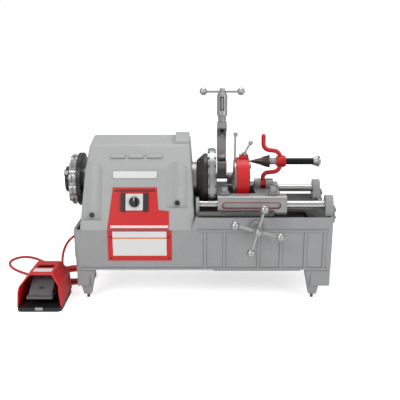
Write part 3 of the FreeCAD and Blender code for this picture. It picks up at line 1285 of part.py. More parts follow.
def nodes():
    plate, bars = switch_plate()
    made = {
        "base_casting": base_casting(),
        "stand_studs": stand_studs(),
        "oil_sump": oil_sump(),
        "chip_tray": chip_tray(),
        "end_cover": [end_cover(), cord_gland()],
        "fasteners": fasteners(),
        "hood": hood(),
        "front_labels": [switch_label(), instruction_label()],
        "faceplates": [badge(), plate],
        "switch_housing": [switch_box()] + bars,
        "switch_knob": switch_knob(),
        "guide_rails": guide_rails(),
        "rail_mounts": rail_seats() + [rail_bracket(-1), rail_bracket(1)],
        "headstock_plates": [front_plate(), rear_plate(), motor_plate()],
        "shaft_bearings": spindle_bearings() + counter_bearings(),
        "motor_body": [motor_body(), motor_foot()],
        "motor_rotor": [motor_rotor(), motor_pinion()],
        "counter_shaft": [counter_shaft(), counter_pinion(), counter_gear()],
        "oil_pump": oil_pump(),
        "spindle": spindle(),
        "spindle_gear": spindle_gear(),
        "chuck_body": chuck_body(),
        "hammer_wheel": hammer_wheel(),
        "rear_centring_body": rear_body(),
        "rear_centring_wheel": rear_wheel(),
        "carriage": carriage(),
        "tool_shafts": [tool_shaft(), reamer_pin()],
        "rest_posts": rest_posts(),
        "rack_bar": [rack_bar()] + rack_screws(),
        "hand_pinion": hand_pinion(),
        "star_handwheel": [star_handwheel()] + handwheel_balls(),
        "cutter_frame": cutter_body(),
        "cutter_rollers_block": roller_block(),
        "cutter_roller_front": cutter_roller(-1),
        "cutter_roller_rear": cutter_roller(1),
        "cutter_wheel_block": wheel_block(),
        "cutter_wheel": cutter_wheel(),
        "feed_screw": [feed_screw()] + feed_balls(),
        "die_head": ring_head(),
        "die_cam_lever": cam_plate(),
        "die_cover_plate": [die_plate()] + die_bolts(),
        "die_lock_lever": lock_lever(),
        "reamer_arm": reamer_arm(),
        "reamer_cone": [reamer_tool(), reamer_knob()],
        "foot_switch_base": [foot_base(), pedal_pin(), foot_gland(), foot_latch()],
        "foot_switch_guard": foot_guard(),
        "foot_pedal": pedal(),
        "cord_lead": cord_tube(CORD_LEAD, "cord_lead"),
        "cord_tail": cord_tube(CORD_TAIL, "cord_tail"),
        "cord_coil": cord_coil(),
    }
    for family, pieces in (("chuck_jaw", chuck_jaws()), ("rear_jaw", rear_jaws()), ("die", dies())):
        for i, piece in enumerate(pieces):
            made["%s_%d" % (family, i + 1)] = piece
    return made


os.makedirs("parts", exist_ok=True)
for name, shape in nodes().items():
    solids = shape if isinstance(shape, list) else [shape]
    whole = Part.makeCompound(solids) if len(solids) > 1 else solids[0]
    print(name, len(whole.Solids), "solids, valid:", whole.isValid())
    whole.exportStep("parts/" + name + ".step")
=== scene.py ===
import math
import bpy
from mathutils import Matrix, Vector


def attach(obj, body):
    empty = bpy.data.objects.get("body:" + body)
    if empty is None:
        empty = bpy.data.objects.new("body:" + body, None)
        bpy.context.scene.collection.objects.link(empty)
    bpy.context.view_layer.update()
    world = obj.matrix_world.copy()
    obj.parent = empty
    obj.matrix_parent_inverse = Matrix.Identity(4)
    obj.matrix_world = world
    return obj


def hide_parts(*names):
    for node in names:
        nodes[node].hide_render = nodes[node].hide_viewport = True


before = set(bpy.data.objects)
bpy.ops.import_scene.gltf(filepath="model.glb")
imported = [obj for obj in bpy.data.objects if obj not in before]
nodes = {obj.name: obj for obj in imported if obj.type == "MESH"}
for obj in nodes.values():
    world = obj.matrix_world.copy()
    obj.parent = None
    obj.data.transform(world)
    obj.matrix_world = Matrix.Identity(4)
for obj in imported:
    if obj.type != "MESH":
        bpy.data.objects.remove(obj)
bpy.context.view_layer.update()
bpy.ops.object.select_all(action="DESELECT")

# ---- camera ----
# A level studio camera in front of the machine, a little above it, looking down at the hood and carriage.
camera_data = bpy.data.cameras.new("camera")
camera_data.lens = 52.9
camera_data.sensor_width = 36.0
camera = bpy.data.objects.new("camera", camera_data)
camera.location = (0.0, -2.066, 0.884)
camera.rotation_euler = (math.radians(74.6), 0.0, 0.0)
bpy.context.scene.collection.objects.link(camera)
bpy.context.scene.camera = camera

# ---- power cord ----
# Red rubber flex, 10 mm thick, that joins the foot switch to the machine. It leaves the gland in the base's
# left end, lies in a loose coil on the floor and goes round behind the foot switch into its back.
lead_points = [(-0.448, 0.1, 0.15), (-0.478, 0.1, 0.15), (-0.512, 0.106, 0.124), (-0.534, 0.11, 0.086),
               (-0.541, 0.098, 0.05)]
tail_points = [(-0.545, 0.112, 0.005), (-0.62, 0.16, 0.005), (-0.682, 0.222, 0.005), (-0.742, 0.24, 0.005),
               (-0.78, 0.19, 0.005), (-0.757, 0.122, 0.005), (-0.694, 0.062, 0.005), (-0.62, 0.024, 0.005),
               (-0.562, -0.016, 0.008), (-0.539, -0.058, 0.016), (-0.539, -0.093, 0.016)]
coil_centre = (-0.480, 0.030)
coil_start, coil_end, whole_turns = 145.0, 90.0, 5
# radius and height of each turn, from the first to the last
turn_rings = [(0.066, 0.0180), (0.075, 0.0158), (0.061, 0.0152), (0.0575, 0.0052), (0.069, 0.0052), (0.0805, 0.0052)]
steps_per_turn = 14
coil_sweep = 360.0 * whole_turns + coil_end - coil_start
coil_steps = int(steps_per_turn * coil_sweep / 360.0)
coil_points = []
for step in range(coil_steps + 1):
    share = step / coil_steps
    angle = math.radians(coil_start + coil_sweep * share)
    place = share * (len(turn_rings) - 1)
    low = min(int(place), len(turn_rings) - 2)
    part = place - low
    eased = part * part * (3 - 2 * part)
    radius = turn_rings[low][0] * (1 - eased) + turn_rings[low + 1][0] * eased
    height = turn_rings[low][1] * (1 - eased) + turn_rings[low + 1][1] * eased
    coil_points.append((coil_centre[0] + radius * math.cos(angle), coil_centre[1] + radius * math.sin(angle), height))

cord_diameter = 0.0098
cord_curve = bpy.data.curves.new("power_cord", "CURVE")
cord_curve.dimensions = "3D"
cord_curve.bevel_depth = 1.0
cord_curve.bevel_resolution = 5
cord_curve.resolution_u = 8
cord_spline = cord_curve.splines.new("NURBS")
cord_route = lead_points + coil_points + tail_points
cord_spline.points.add(len(cord_route) - 1)
for point, place in zip(cord_spline.points, cord_route):
    point.co = (*place, 1.0)
    point.radius = cord_diameter / 2
cord_spline.order_u = 3
cord_spline.use_endpoint_u = True
power_cord = bpy.data.objects.new("power_cord", cord_curve)
bpy.context.scene.collection.objects.link(power_cord)
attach(power_cord, "frame")
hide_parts("cord_lead", "cord_tail", "cord_coil")


def curve_length(piece):
    """Length of a curve's own line, in metres."""
    plain = piece.data.copy()
    plain.bevel_depth = 0.0
    probe = bpy.data.objects.new("probe", plain)
    mesh = bpy.data.meshes.new_from_object(probe)
    total = sum((mesh.vertices[e.vertices[0]].co - mesh.vertices[e.vertices[1]].co).length for e in mesh.edges)
    bpy.data.objects.remove(probe)
    bpy.data.curves.remove(plain)
    bpy.data.meshes.remove(mesh)
    return total


round(curve_length(power_cord), 3)

# ---- grain of the castings and of the machined steel ----
# Sand castings keep a pebbled skin under their paint, and an occlusion mask darkens their corners with painted shade. A
# lathe or a grinder leaves fine lines and oily smears on steel, with the same painted shade in its corners. Each grain
# is one group that the finishes below place with their own values.
cast_skin = bpy.data.node_groups.new("cast_skin", "ShaderNodeTree")
for label, kind, value in (("Grain Scale", "NodeSocketFloat", 700.0), ("Blotch Scale", "NodeSocketFloat", 18.0),
                           ("Shade Reach", "NodeSocketFloat", 0.02)):
    socket = cast_skin.interface.new_socket(label, in_out="INPUT", socket_type=kind)
    socket.default_value = value
for label in ("Speckle", "Blotch", "Crevice Shade", "Height"):
    cast_skin.interface.new_socket(label, in_out="OUTPUT", socket_type="NodeSocketFloat")


def add(tree, kind, **settings):
    """New shader node with its settings."""
    node = tree.nodes.new(kind)
    for name, value in settings.items():
        setattr(node, name, value)
    return node


def ramp_between(tree, source, low, high):
    """Stretch a value so that low becomes 0 and high becomes 1."""
    node = add(tree, "ShaderNodeMapRange")
    node.inputs["From Min"].default_value = low
    node.inputs["From Max"].default_value = high
    tree.links.new(source, node.inputs["Value"])
    return node.outputs["Result"]


skin_in = add(cast_skin, "NodeGroupInput")
skin_out = add(cast_skin, "NodeGroupOutput")
skin_place = add(cast_skin, "ShaderNodeTexCoord")
fine = add(cast_skin, "ShaderNodeTexNoise")
fine.inputs["Detail"].default_value = 3.0
cast_skin.links.new(skin_place.outputs["Object"], fine.inputs["Vector"])
cast_skin.links.new(skin_in.outputs["Grain Scale"], fine.inputs["Scale"])
blotch = add(cast_skin, "ShaderNodeTexNoise")
blotch.inputs["Detail"].default_value = 4.0
cast_skin.links.new(skin_place.outputs["Object"], blotch.inputs["Vector"])
cast_skin.links.new(skin_in.outputs["Blotch Scale"], blotch.inputs["Scale"])
pebble = add(cast_skin, "ShaderNodeTexVoronoi")
cast_skin.links.new(skin_place.outputs["Object"], pebble.inputs["Vector"])
cast_skin.links.new(skin_in.outputs["Grain Scale"], pebble.inputs["Scale"])
# Occlusion mask for painted shade: it finds corners and crevices where light is blocked.
crevice = add(cast_skin, "ShaderNodeAmbientOcclusion", samples=6)
cast_skin.links.new(skin_in.outputs["Shade Reach"], crevice.inputs["Distance"])
cast_skin.links.new(ramp_between(cast_skin, fine.outputs["Fac"], 0.55, 0.7), skin_out.inputs["Speckle"])
cast_skin.links.new(ramp_between(cast_skin, blotch.outputs["Fac"], 0.3, 0.7), skin_out.inputs["Blotch"])
# This output is painted shade, high where the occlusion mask finds crevices.
cast_skin.links.new(ramp_between(cast_skin, crevice.outputs["AO"], 0.95, 0.35), skin_out.inputs["Crevice Shade"])
cast_skin.links.new(pebble.outputs["Distance"], skin_out.inputs["Height"])

tool_lines = bpy.data.node_groups.new("tool_lines", "ShaderNodeTree")
for label, kind, value in (("Along", "NodeSocketVector", (1.0, 1.0, 1.0)), ("Shade Reach", "NodeSocketFloat", 0.012)):
    socket = tool_lines.interface.new_socket(label, in_out="INPUT", socket_type=kind)
    socket.default_value = value
for label in ("Lines", "Smears", "Crevice Shade"):
    tool_lines.interface.new_socket(label, in_out="OUTPUT", socket_type="NodeSocketFloat")
lines_in = add(tool_lines, "NodeGroupInput")
lines_out = add(tool_lines, "NodeGroupOutput")
lines_place = add(tool_lines, "ShaderNodeTexCoord")
stretch = add(tool_lines, "ShaderNodeVectorMath", operation="MULTIPLY")
tool_lines.links.new(lines_place.outputs["Object"], stretch.inputs[0])
tool_lines.links.new(lines_in.outputs["Along"], stretch.inputs[1])
scratch = add(tool_lines, "ShaderNodeTexNoise")
scratch.inputs["Scale"].default_value = 1.0
scratch.inputs["Detail"].default_value = 2.0
tool_lines.links.new(stretch.outputs["Vector"], scratch.inputs["Vector"])
smear = add(tool_lines, "ShaderNodeTexNoise")
smear.inputs["Scale"].default_value = 35.0
smear.inputs["Detail"].default_value = 4.0
tool_lines.links.new(lines_place.outputs["Object"], smear.inputs["Vector"])
# Occlusion mask for painted shade: it finds corners where light is blocked.
corner = add(tool_lines, "ShaderNodeAmbientOcclusion", samples=6)
tool_lines.links.new(lines_in.outputs["Shade Reach"], corner.inputs["Distance"])
tool_lines.links.new(ramp_between(tool_lines, scratch.outputs["Fac"], 0.35, 0.65), lines_out.inputs["Lines"])
tool_lines.links.new(ramp_between(tool_lines, smear.outputs["Fac"], 0.35, 0.7), lines_out.inputs["Smears"])
# This output is painted shade, high where the occlusion mask finds corners.
tool_lines.links.new(ramp_between(tool_lines, corner.outputs["AO"], 0.95, 0.3), lines_out.inputs["Crevice Shade"])


def blend_colour(tree, share, first, second):
    """Mix two colours, or a colour socket and a colour, by a mask."""
    node = add(tree, "ShaderNodeMix", data_type="RGBA")
    tree.links.new(share, node.inputs["Factor"])
    for index, value in ((6, first), (7, second)):
        if isinstance(value, tuple):
            node.inputs[index].default_value = (*value, 1.0)
        else:
            tree.links.new(value, node.inputs[index])
    return node.outputs[2]


def scaled(tree, source, factor, offset=0.0):
    """A value times a factor, plus an offset."""
    node = add(tree, "ShaderNodeMath", operation="MULTIPLY_ADD")
    tree.links.new(source, node.inputs[0])
    node.inputs[1].default_value = factor
    node.inputs[2].default_value = offset
    return node.outputs["Value"]


def cast_finish(name, colour, speckle, crevice_shade, rough=0.5, grain=700.0, depth=0.0004, metal=0.0, speckle_share=0.5):
    """Painted or bare casting: speckled colour, soft blotches, painted shade in the crevices and a pebbled skin."""
    material = bpy.data.materials.new(name)
    material.use_nodes = True
    tree = material.node_tree
    shader = tree.nodes["Principled BSDF"]
    skin = add(tree, "ShaderNodeGroup", node_tree=cast_skin)
    skin.inputs["Grain Scale"].default_value = grain
    speckled = blend_colour(tree, scaled(tree, skin.outputs["Speckle"], speckle_share), colour, speckle)
    clouded = blend_colour(tree, scaled(tree, skin.outputs["Blotch"], 0.12), speckled, speckle)
    # Blend toward the dark crevice colour by the occlusion mask: painted shade in corners and crevices.
    shaded = blend_colour(tree, scaled(tree, skin.outputs["Crevice Shade"], 0.7), clouded, crevice_shade)
    tree.links.new(shaded, shader.inputs["Base Color"])
    tree.links.new(scaled(tree, skin.outputs["Blotch"], 0.14, rough - 0.07), shader.inputs["Roughness"])
    shader.inputs["Metallic"].default_value = metal
    bump = add(tree, "ShaderNodeBump")
    bump.inputs["Strength"].default_value = 0.35
    bump.inputs["Distance"].default_value = depth
    tree.links.new(skin.outputs["Height"], bump.inputs["Height"])
    tree.links.new(bump.outputs["Normal"], shader.inputs["Normal"])
    return material


def steel_finish(name, colour, crevice_shade, rough=0.3, along=(30.0, 900.0, 900.0)):
    """Turned or ground steel: fine lines across the work, oily smears and painted shade in the corners."""
    material = bpy.data.materials.new(name)
    material.use_nodes = True
    tree = material.node_tree
    shader = tree.nodes["Principled BSDF"]
    lines = add(tree, "ShaderNodeGroup", node_tree=tool_lines)
    lines.inputs["Along"].default_value = along
    lined = blend_colour(tree, scaled(tree, lines.outputs["Lines"], 0.15), colour, tuple(c * 0.72 for c in colour))
    smeared = blend_colour(tree, scaled(tree, lines.outputs["Smears"], 0.12), lined, tuple(c * 0.6 for c in colour))
    # Blend toward the dark corner colour by the occlusion mask: painted shade in corners.
    shaded = blend_colour(tree, scaled(tree, lines.outputs["Crevice Shade"], 0.6), smeared, crevice_shade)
    tree.links.new(shaded, shader.inputs["Base Color"])
    tree.links.new(scaled(tree, lines.outputs["Smears"], 0.18, rough - 0.06), shader.inputs["Roughness"])
    shader.inputs["Metallic"].default_value = 1.0
    bump = add(tree, "ShaderNodeBump")
    bump.inputs["Strength"].default_value = 0.15
    bump.inputs["Distance"].default_value = 0.0002
    tree.links.new(lines.outputs["Lines"], bump.inputs["Height"])
    tree.links.new(bump.outputs["Normal"], shader.inputs["Normal"])
    return material


def wear(material, *names):
    """Give each named CAD node the finish, in place of what it came with."""
    for name in names:
        slots = nodes[name].data.materials
        slots.clear()
        slots.append(material)


# ---- base casting, hood and rail mounts ----
# Grey iron castings in a light grey speckled enamel, a little darker on the base than on the hood. The hood is
# screwed to the base's seam, and the brackets that hold the rails are bolted to its right end.
hood_enamel = cast_finish("hood_enamel", (0.43, 0.435, 0.435), (0.30, 0.305, 0.31), (0.12, 0.12, 0.12), rough=0.42,
                          grain=420.0, speckle_share=0.6)
base_enamel = cast_finish("base_enamel", (0.36, 0.365, 0.37), (0.24, 0.245, 0.25), (0.07, 0.07, 0.07), rough=0.42,
                          grain=420.0, speckle_share=0.6)
wear(hood_enamel, "hood")
wear(base_enamel, "base_casting", "rail_mounts")

# ---- carriage, rest posts and cutter castings ----
# Bare machined castings, satin grey with dark pores and painted shade in the corners. The carriage slides on the rails;
# the cutter's frame swings on the tool shaft, and the headstock plates and oil pump stand inside the hood.
bare_casting = cast_finish("bare_casting", (0.42, 0.42, 0.42), (0.22, 0.22, 0.22), (0.05, 0.048, 0.045), rough=0.36,
                           grain=550.0, metal=0.55, speckle_share=0.45)
wear(bare_casting, "carriage", "rest_posts", "cutter_frame", "headstock_plates", "oil_pump")

# ---- rails, wheels, screws and shafts ----
# Ground and chromed rails, turned wheels and shafts, plated handwheel, screw and levers, and the oiled dark
# steel of jaws, dies and rack. The shafts run in bronze bearings that are pressed into the headstock plates.
rail_chrome = steel_finish("rail_chrome", (0.78, 0.78, 0.77), (0.06, 0.055, 0.05), rough=0.16)
turned_steel = steel_finish("turned_steel", (0.46, 0.46, 0.46), (0.04, 0.04, 0.04), rough=0.36)
plated_steel = steel_finish("plated_steel", (0.52, 0.52, 0.515), (0.06, 0.06, 0.06), rough=0.34,
                            along=(260.0, 260.0, 260.0))
oiled_steel = steel_finish("oiled_steel", (0.20, 0.19, 0.18), (0.02, 0.02, 0.018), rough=0.34,
                           along=(300.0, 300.0, 300.0))
gear_steel = steel_finish("gear_steel", (0.42, 0.41, 0.39), (0.04, 0.035, 0.03), rough=0.3)
wear(rail_chrome, "guide_rails")
wear(turned_steel, "spindle", "hammer_wheel", "rear_centring_wheel", "tool_shafts", "hand_pinion",
     "cutter_roller_front", "cutter_roller_rear", "cutter_wheel")
wear(plated_steel, "star_handwheel", "feed_screw", "die_cam_lever", "die_lock_lever")
wear(oiled_steel, "rack_bar", "cutter_rollers_block", "cutter_wheel_block", "die_cover_plate",
     "stand_studs", "chip_tray", *["chuck_jaw_%d" % i for i in (1, 2, 3)], *["rear_jaw_%d" % i for i in (1, 2, 3)],
     *["die_%d" % i for i in (1, 2, 3, 4)])
wear(gear_steel, "spindle_gear", "counter_shaft", "motor_rotor")
bearing_bronze = steel_finish("bearing_bronze", (0.52, 0.33, 0.14), (0.05, 0.03, 0.01), rough=0.35)
wear(bearing_bronze, "shaft_bearings")

# ---- black and red painted pieces ----
# Chuck body in brown-black enamel, black covers, sump and switch box, and bright red die head, reamer yoke,
# label and foot switch guard. The pedal is moulded grey plastic; the badge and switch plate are white enamel.
chuck_enamel = cast_finish("chuck_enamel", (0.035, 0.028, 0.025), (0.09, 0.08, 0.075), (0.005, 0.005, 0.005),
                           rough=0.34, grain=350.0, speckle_share=0.25)
black_enamel = cast_finish("black_enamel", (0.018, 0.018, 0.019), (0.045, 0.045, 0.045), (0.004, 0.004, 0.004),
                           rough=0.38, grain=500.0, speckle_share=0.2)
red_enamel = cast_finish("red_enamel", (0.66, 0.012, 0.014), (0.48, 0.008, 0.010), (0.13, 0.003, 0.003), rough=0.42,
                         grain=300.0, speckle_share=0.25, depth=0.0002)
white_enamel = cast_finish("white_enamel", (0.78, 0.78, 0.77), (0.66, 0.66, 0.66), (0.3, 0.3, 0.3), rough=0.35,
                           grain=300.0, speckle_share=0.2, depth=0.0001)
pedal_plastic = cast_finish("pedal_plastic", (0.12, 0.12, 0.125), (0.2, 0.2, 0.2), (0.03, 0.03, 0.03), rough=0.5,
                            grain=900.0, speckle_share=0.3)
cord_rubber = cast_finish("cord_rubber", (0.62, 0.03, 0.025), (0.45, 0.02, 0.018), (0.12, 0.005, 0.005), rough=0.45,
                          grain=600.0, speckle_share=0.3, depth=0.0002)
wear(chuck_enamel, "chuck_body")
wear(black_enamel, "rear_centring_body", "oil_sump", "end_cover", "fasteners", "motor_body", "switch_housing",
     "switch_knob", "foot_switch_base")
wear(red_enamel, "die_head", "front_labels", "foot_switch_guard", "reamer_arm")
wear(white_enamel, "faceplates")
wear(pedal_plastic, "foot_pedal")
power_cord.data.materials.append(cord_rubber)


# ---- front label: panel, rules and band ----
# A red film riveted to the hood and base, printed with a blank white panel, thin rules and a dark band over the
# switch. The knob's pointer is a white bar let into its grip, so it turns with the knob.
base_front_y, seam_z = -0.170, 0.255
hood_lean = math.atan2(0.080, 0.198)
orange_ink = cast_finish("orange_ink", (0.80, 0.19, 0.02), (0.65, 0.15, 0.02), (0.3, 0.07, 0.01), rough=0.4)
dark_red_ink = cast_finish("dark_red_ink", (0.20, 0.004, 0.006), (0.14, 0.003, 0.004), (0.05, 0.001, 0.001), rough=0.4)


def on_hood_front(x, z, out):
    """Place on the hood's front slope, out of its skin by the given distance."""
    y = base_front_y + (z - seam_z) * math.tan(hood_lean)
    return (x, y - out * math.cos(hood_lean), z + out * math.sin(hood_lean))


def flat_plate(name, middle, size, material, body="frame", tilt=0.0, soften=0.0004):
    """Plate with softened edges, turned about X by the tilt, its place in its mesh."""
    bpy.ops.object.select_all(action="DESELECT")
    bpy.ops.mesh.primitive_cube_add(size=1.0, location=middle, rotation=(tilt, 0.0, 0.0))
    plate = bpy.context.object
    plate.name = name
    plate.scale = size
    bpy.ops.object.transform_apply(location=True, rotation=True, scale=True)
    edge = plate.modifiers.new("soft_edge", "BEVEL")
    edge.width = soften
    edge.segments = 2
    bpy.ops.object.modifier_apply(modifier="soft_edge")
    plate.data.materials.append(material)
    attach(plate, body)
    return plate


flat_plate("label_panel", (-0.206, -0.1716, 0.2075), (0.184, 0.0014, 0.087), white_enamel)
flat_plate("label_rule", (-0.206, -0.1724, 0.2275), (0.184, 0.0010, 0.004), orange_ink)
flat_plate("label_strip", on_hood_front(-0.206, 0.266, 0.0016), (0.196, 0.0010, 0.009), white_enamel,
           tilt=-hood_lean)
flat_plate("label_band", on_hood_front(-0.223, 0.381, 0.0016), (0.138, 0.0010, 0.008), dark_red_ink,
           tilt=-hood_lean)
flat_plate("knob_pointer", on_hood_front(-0.224, 0.352, 0.0216), (0.0025, 0.0010, 0.013), white_enamel,
           body="power_knob", tilt=-hood_lean, soften=0.0003)

# ---- raised bars on the hood's upper slope ----
# Three plain raised bars, cast with the hood and painted in its enamel. They stand in a row on the slope
# between the front face and the top.
upper_lean = math.atan2(0.070, 0.068)
bar_size = (0.052, 0.0050, 0.015)
for number, across in enumerate((-0.286, -0.222, -0.158)):
    flat_plate("hood_bar_%d" % (number + 1), (across, -0.0562, 0.4882), bar_size, hood_enamel,
               tilt=-upper_lean, soften=0.0015)

# ---- cord strain reliefs ----
# Tapered black rubber sleeves, moulded on the cord where it leaves the base's left end and the foot switch,
# so that it can't kink at the edge of the hole. Their wide end is held in the housing.
for name, middle, turn in (("lead_relief", (-0.463, 0.1, 0.15), (0.0, math.radians(-90.0), 0.0)),
                           ("tail_relief", (-0.539, -0.080, 0.016), (math.radians(-90.0), 0.0, 0.0))):
    bpy.ops.object.select_all(action="DESELECT")
    bpy.ops.mesh.primitive_cone_add(vertices=32, radius1=0.0090, radius2=0.0058, depth=0.032, location=middle,
                                    rotation=turn)
    relief = bpy.context.object
    relief.name = name
    bpy.ops.object.transform_apply(location=True, rotation=True, scale=True)
    edge = relief.modifiers.new("soft_edge", "BEVEL")
    edge.width = 0.0008
    edge.segments = 2
    bpy.ops.object.modifier_apply(modifier="soft_edge")
    bpy.ops.object.shade_smooth_by_angle(angle=math.radians(40.0))
    relief.data.materials.append(black_enamel)
    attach(relief, "frame")

# ---- foot switch plate and treadle ----
# A blank white plate glued on the guard's top, the wide grey treadle that is moulded with the pedal, with its
# small boss, and the plated face of the latch, screwed to the front of the base.
treadle_tilt = math.radians(31.6)
flat_plate("guard_plate", (-0.539, -0.183, 0.1154), (0.064, 0.028, 0.0014), white_enamel)
flat_plate("treadle", (-0.539, -0.209, 0.066), (0.080, 0.092, 0.006), pedal_plastic, body="pedal_unit",
           tilt=treadle_tilt, soften=0.0022)
flat_plate("treadle_boss", (-0.539, -0.2175, 0.0650), (0.016, 0.006, 0.004), black_enamel,
           body="pedal_unit",
           tilt=treadle_tilt, soften=0.0012)
flat_plate("latch_face", (-0.539, -0.2668, 0.0100), (0.026, 0.0030, 0.0110), plated_steel,
           soften=0.0008)

# ---- window in the cutter's feed sleeve ----
# A slot milled in the front of the steel sleeve, with the bright screw showing in it; the shade inside the slot is
# painted as a flat black plate. Both turn with the sleeve, and the raised cutter leans back by 5 degrees.
sleeve_lean = math.radians(5.0)
# Black plate: painted shade of the slot's inside.
flat_plate("sleeve_slot_shade", (0.0826, 0.1250, 0.6500), (0.015, 0.0020, 0.050), black_enamel,
           body="feed_unit",
           tilt=-sleeve_lean, soften=0.0006)
flat_plate("sleeve_screw", (0.0826, 0.1242, 0.6500), (0.007, 0.0020, 0.044), plated_steel,
           body="feed_unit",
           tilt=-sleeve_lean, soften=0.0008)

# ---- painted edge in the carriage's front recess ----
# A thin line of red paint along the edge of the recess in the carriage's front sleeve. It lies on the floor of
# the recess and moves with the carriage.
bpy.ops.object.select_all(action="DESELECT")
bpy.ops.mesh.primitive_plane_add(size=1.0, location=(0.175, -0.1404, 0.335), rotation=(math.radians(90.0), 0.0, 0.0))
recess_line = bpy.context.object
recess_line.name = "recess_line"
recess_line.scale = (0.198, 0.0205, 1.0)
bpy.ops.object.transform_apply(location=True, rotation=True, scale=True)
bpy.ops.object.mode_set(mode="EDIT")
bpy.ops.mesh.bevel(offset=0.0085, segments=6, affect="VERTICES")
bpy.ops.mesh.select_all(action="SELECT")
bpy.ops.mesh.inset(thickness=0.0020, use_boundary=True)
bpy.ops.mesh.delete(type="FACE")
bpy.ops.object.mode_set(mode="OBJECT")
wall = recess_line.modifiers.new("paint_depth", "SOLIDIFY")
wall.thickness = 0.0009
wall.offset = 0.0
bpy.ops.object.modifier_apply(modifier="paint_depth")
recess_line.data.materials.append(red_enamel)
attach(recess_line, "carriage_unit")

# ---- reamer: brown cone, bright collar, black shaft and bright knob ----
# One turned bar of tool steel that lies in the yoke's hub. The cone is oiled brown, the shaft blacked, the collar
# and the knob left bright. The cone's core stands between its cutting ribs.
reamer_finish = bpy.data.materials.new("reamer_finish")
reamer_finish.use_nodes = True
reamer_tree = reamer_finish.node_tree
reamer_shader = reamer_tree.nodes["Principled BSDF"]
reamer_place = add(reamer_tree, "ShaderNodeTexCoord")
reamer_axes = add(reamer_tree, "ShaderNodeSeparateXYZ")
reamer_tree.links.new(reamer_place.outputs["Object"], reamer_axes.inputs["Vector"])
reamer_lines = add(reamer_tree, "ShaderNodeGroup", node_tree=tool_lines)
reamer_lines.inputs["Along"].default_value = (900.0, 60.0, 60.0)


def beyond(x):
    """Mask of all that lies past a place along the reamer."""
    step = add(reamer_tree, "ShaderNodeMath", operation="GREATER_THAN")
    reamer_tree.links.new(reamer_axes.outputs["X"], step.inputs[0])
    step.inputs[1].default_value = x
    return step.outputs["Value"]


lined_cone = blend_colour(reamer_tree, scaled(reamer_tree, reamer_lines.outputs["Lines"], 0.5), (0.115, 0.095, 0.08),
                          (0.07, 0.058, 0.05))
with_collar = blend_colour(reamer_tree, beyond(0.2575), lined_cone, (0.50, 0.50, 0.49))
with_shaft = blend_colour(reamer_tree, beyond(0.300), with_collar, (0.022, 0.022, 0.022))
with_knob = blend_colour(reamer_tree, beyond(0.4205), with_shaft, (0.50, 0.50, 0.49))
# Blend toward near-black by the occlusion mask: painted shade in the reamer's corners.
reamer_shaded = blend_colour(reamer_tree, scaled(reamer_tree, reamer_lines.outputs["Crevice Shade"], 0.5), with_knob,
                           (0.02, 0.02, 0.018))
reamer_tree.links.new(reamer_shaded, reamer_shader.inputs["Base Color"])
reamer_tree.links.new(scaled(reamer_tree, reamer_lines.outputs["Smears"], 0.16, 0.3), reamer_shader.inputs["Roughness"])
reamer_shader.inputs["Metallic"].default_value = 0.85
wear(reamer_finish, "reamer_cone")

bpy.ops.object.select_all(action="DESELECT")
bpy.ops.mesh.primitive_cone_add(vertices=60, radius1=0.0218, radius2=0.0016, depth=0.0765,
                                location=(0.2197, 0.082, 0.442), rotation=(0.0, math.radians(-90.0), 0.0))
reamer_core = bpy.context.object
reamer_core.name = "reamer_core"
bpy.ops.object.transform_apply(location=True, rotation=True, scale=True)
core_edge = reamer_core.modifiers.new("soft_edge", "BEVEL")
core_edge.width = 0.0010
core_edge.segments = 2
bpy.ops.object.modifier_apply(modifier="soft_edge")
bpy.ops.object.shade_smooth_by_angle(angle=math.radians(35.0))
reamer_core.data.materials.append(reamer_finish)
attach(reamer_core, "reamer_shaft_unit")


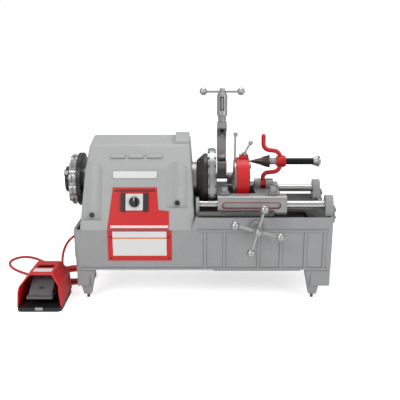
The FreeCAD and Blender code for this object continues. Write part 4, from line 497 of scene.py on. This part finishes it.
# ---- floor, backdrop and studio lights ----
# One pale floor that shows white to the camera and keeps its shadow, a white world, a large soft key lamp, a
# fill lamp on the right and a top lamp from behind.
bpy.ops.object.select_all(action="DESELECT")
bpy.ops.mesh.primitive_plane_add(size=14.0, location=(0.0, 3.0, 0.0))
studio_floor = bpy.context.object
studio_floor.name = "studio_floor"
floor_paint = bpy.data.materials.new("floor_paint")
floor_paint.use_nodes = True
floor_tree = floor_paint.node_tree
floor_shader = floor_tree.nodes["Principled BSDF"]
floor_shader.inputs["Base Color"].default_value = (0.93, 0.93, 0.93, 1.0)
floor_shader.inputs["Roughness"].default_value = 0.9
floor_shader.inputs["Emission Color"].default_value = (1.0, 1.0, 1.0, 1.0)
floor_seen = add(floor_tree, "ShaderNodeLightPath")
floor_glow = scaled(floor_tree, floor_seen.outputs["Is Camera Ray"], 0.62)
floor_tree.links.new(floor_glow, floor_shader.inputs["Emission Strength"])
studio_floor.data.materials.append(floor_paint)

studio_world = bpy.data.worlds.new("studio_world")
studio_world.use_nodes = True
world_tree = studio_world.node_tree
world_light = world_tree.nodes["Background"]
world_light.inputs["Color"].default_value = (1.0, 1.0, 1.0, 1.0)
world_light.inputs["Strength"].default_value = 0.45
world_seen = add(world_tree, "ShaderNodeBackground")
world_seen.inputs["Color"].default_value = (1.0, 1.0, 1.0, 1.0)
world_seen.inputs["Strength"].default_value = 1.0
world_path = add(world_tree, "ShaderNodeLightPath")
world_mix = add(world_tree, "ShaderNodeMixShader")
world_tree.links.new(world_path.outputs["Is Camera Ray"], world_mix.inputs["Fac"])
world_tree.links.new(world_light.outputs["Background"], world_mix.inputs[1])
world_tree.links.new(world_seen.outputs["Background"], world_mix.inputs[2])
world_tree.links.new(world_mix.outputs["Shader"], world_tree.nodes["World Output"].inputs["Surface"])
bpy.context.scene.world = studio_world


def soft_lamp(name, place, size, power):
    """Rectangular lamp that points at the machine's middle."""
    lamp_data = bpy.data.lights.new(name, "AREA")
    lamp_data.shape = "RECTANGLE"
    lamp_data.size, lamp_data.size_y = size
    lamp_data.energy = power
    lamp = bpy.data.objects.new(name, lamp_data)
    lamp.location = place
    lamp.rotation_euler = (Vector((0.0, 0.0, 0.3)) - Vector(place)).to_track_quat("-Z", "Y").to_euler()
    bpy.context.scene.collection.objects.link(lamp)


soft_lamp("key_lamp", (-1.6, -2.2, 2.2), (1.6, 1.2), 34.0)
soft_lamp("fill_lamp", (2.2, -1.6, 1.4), (1.4, 1.4), 16.0)
soft_lamp("top_lamp", (0.2, 0.6, 2.6), (2.0, 1.4), 24.0)

bpy.context.scene.view_settings.view_transform = "Standard"
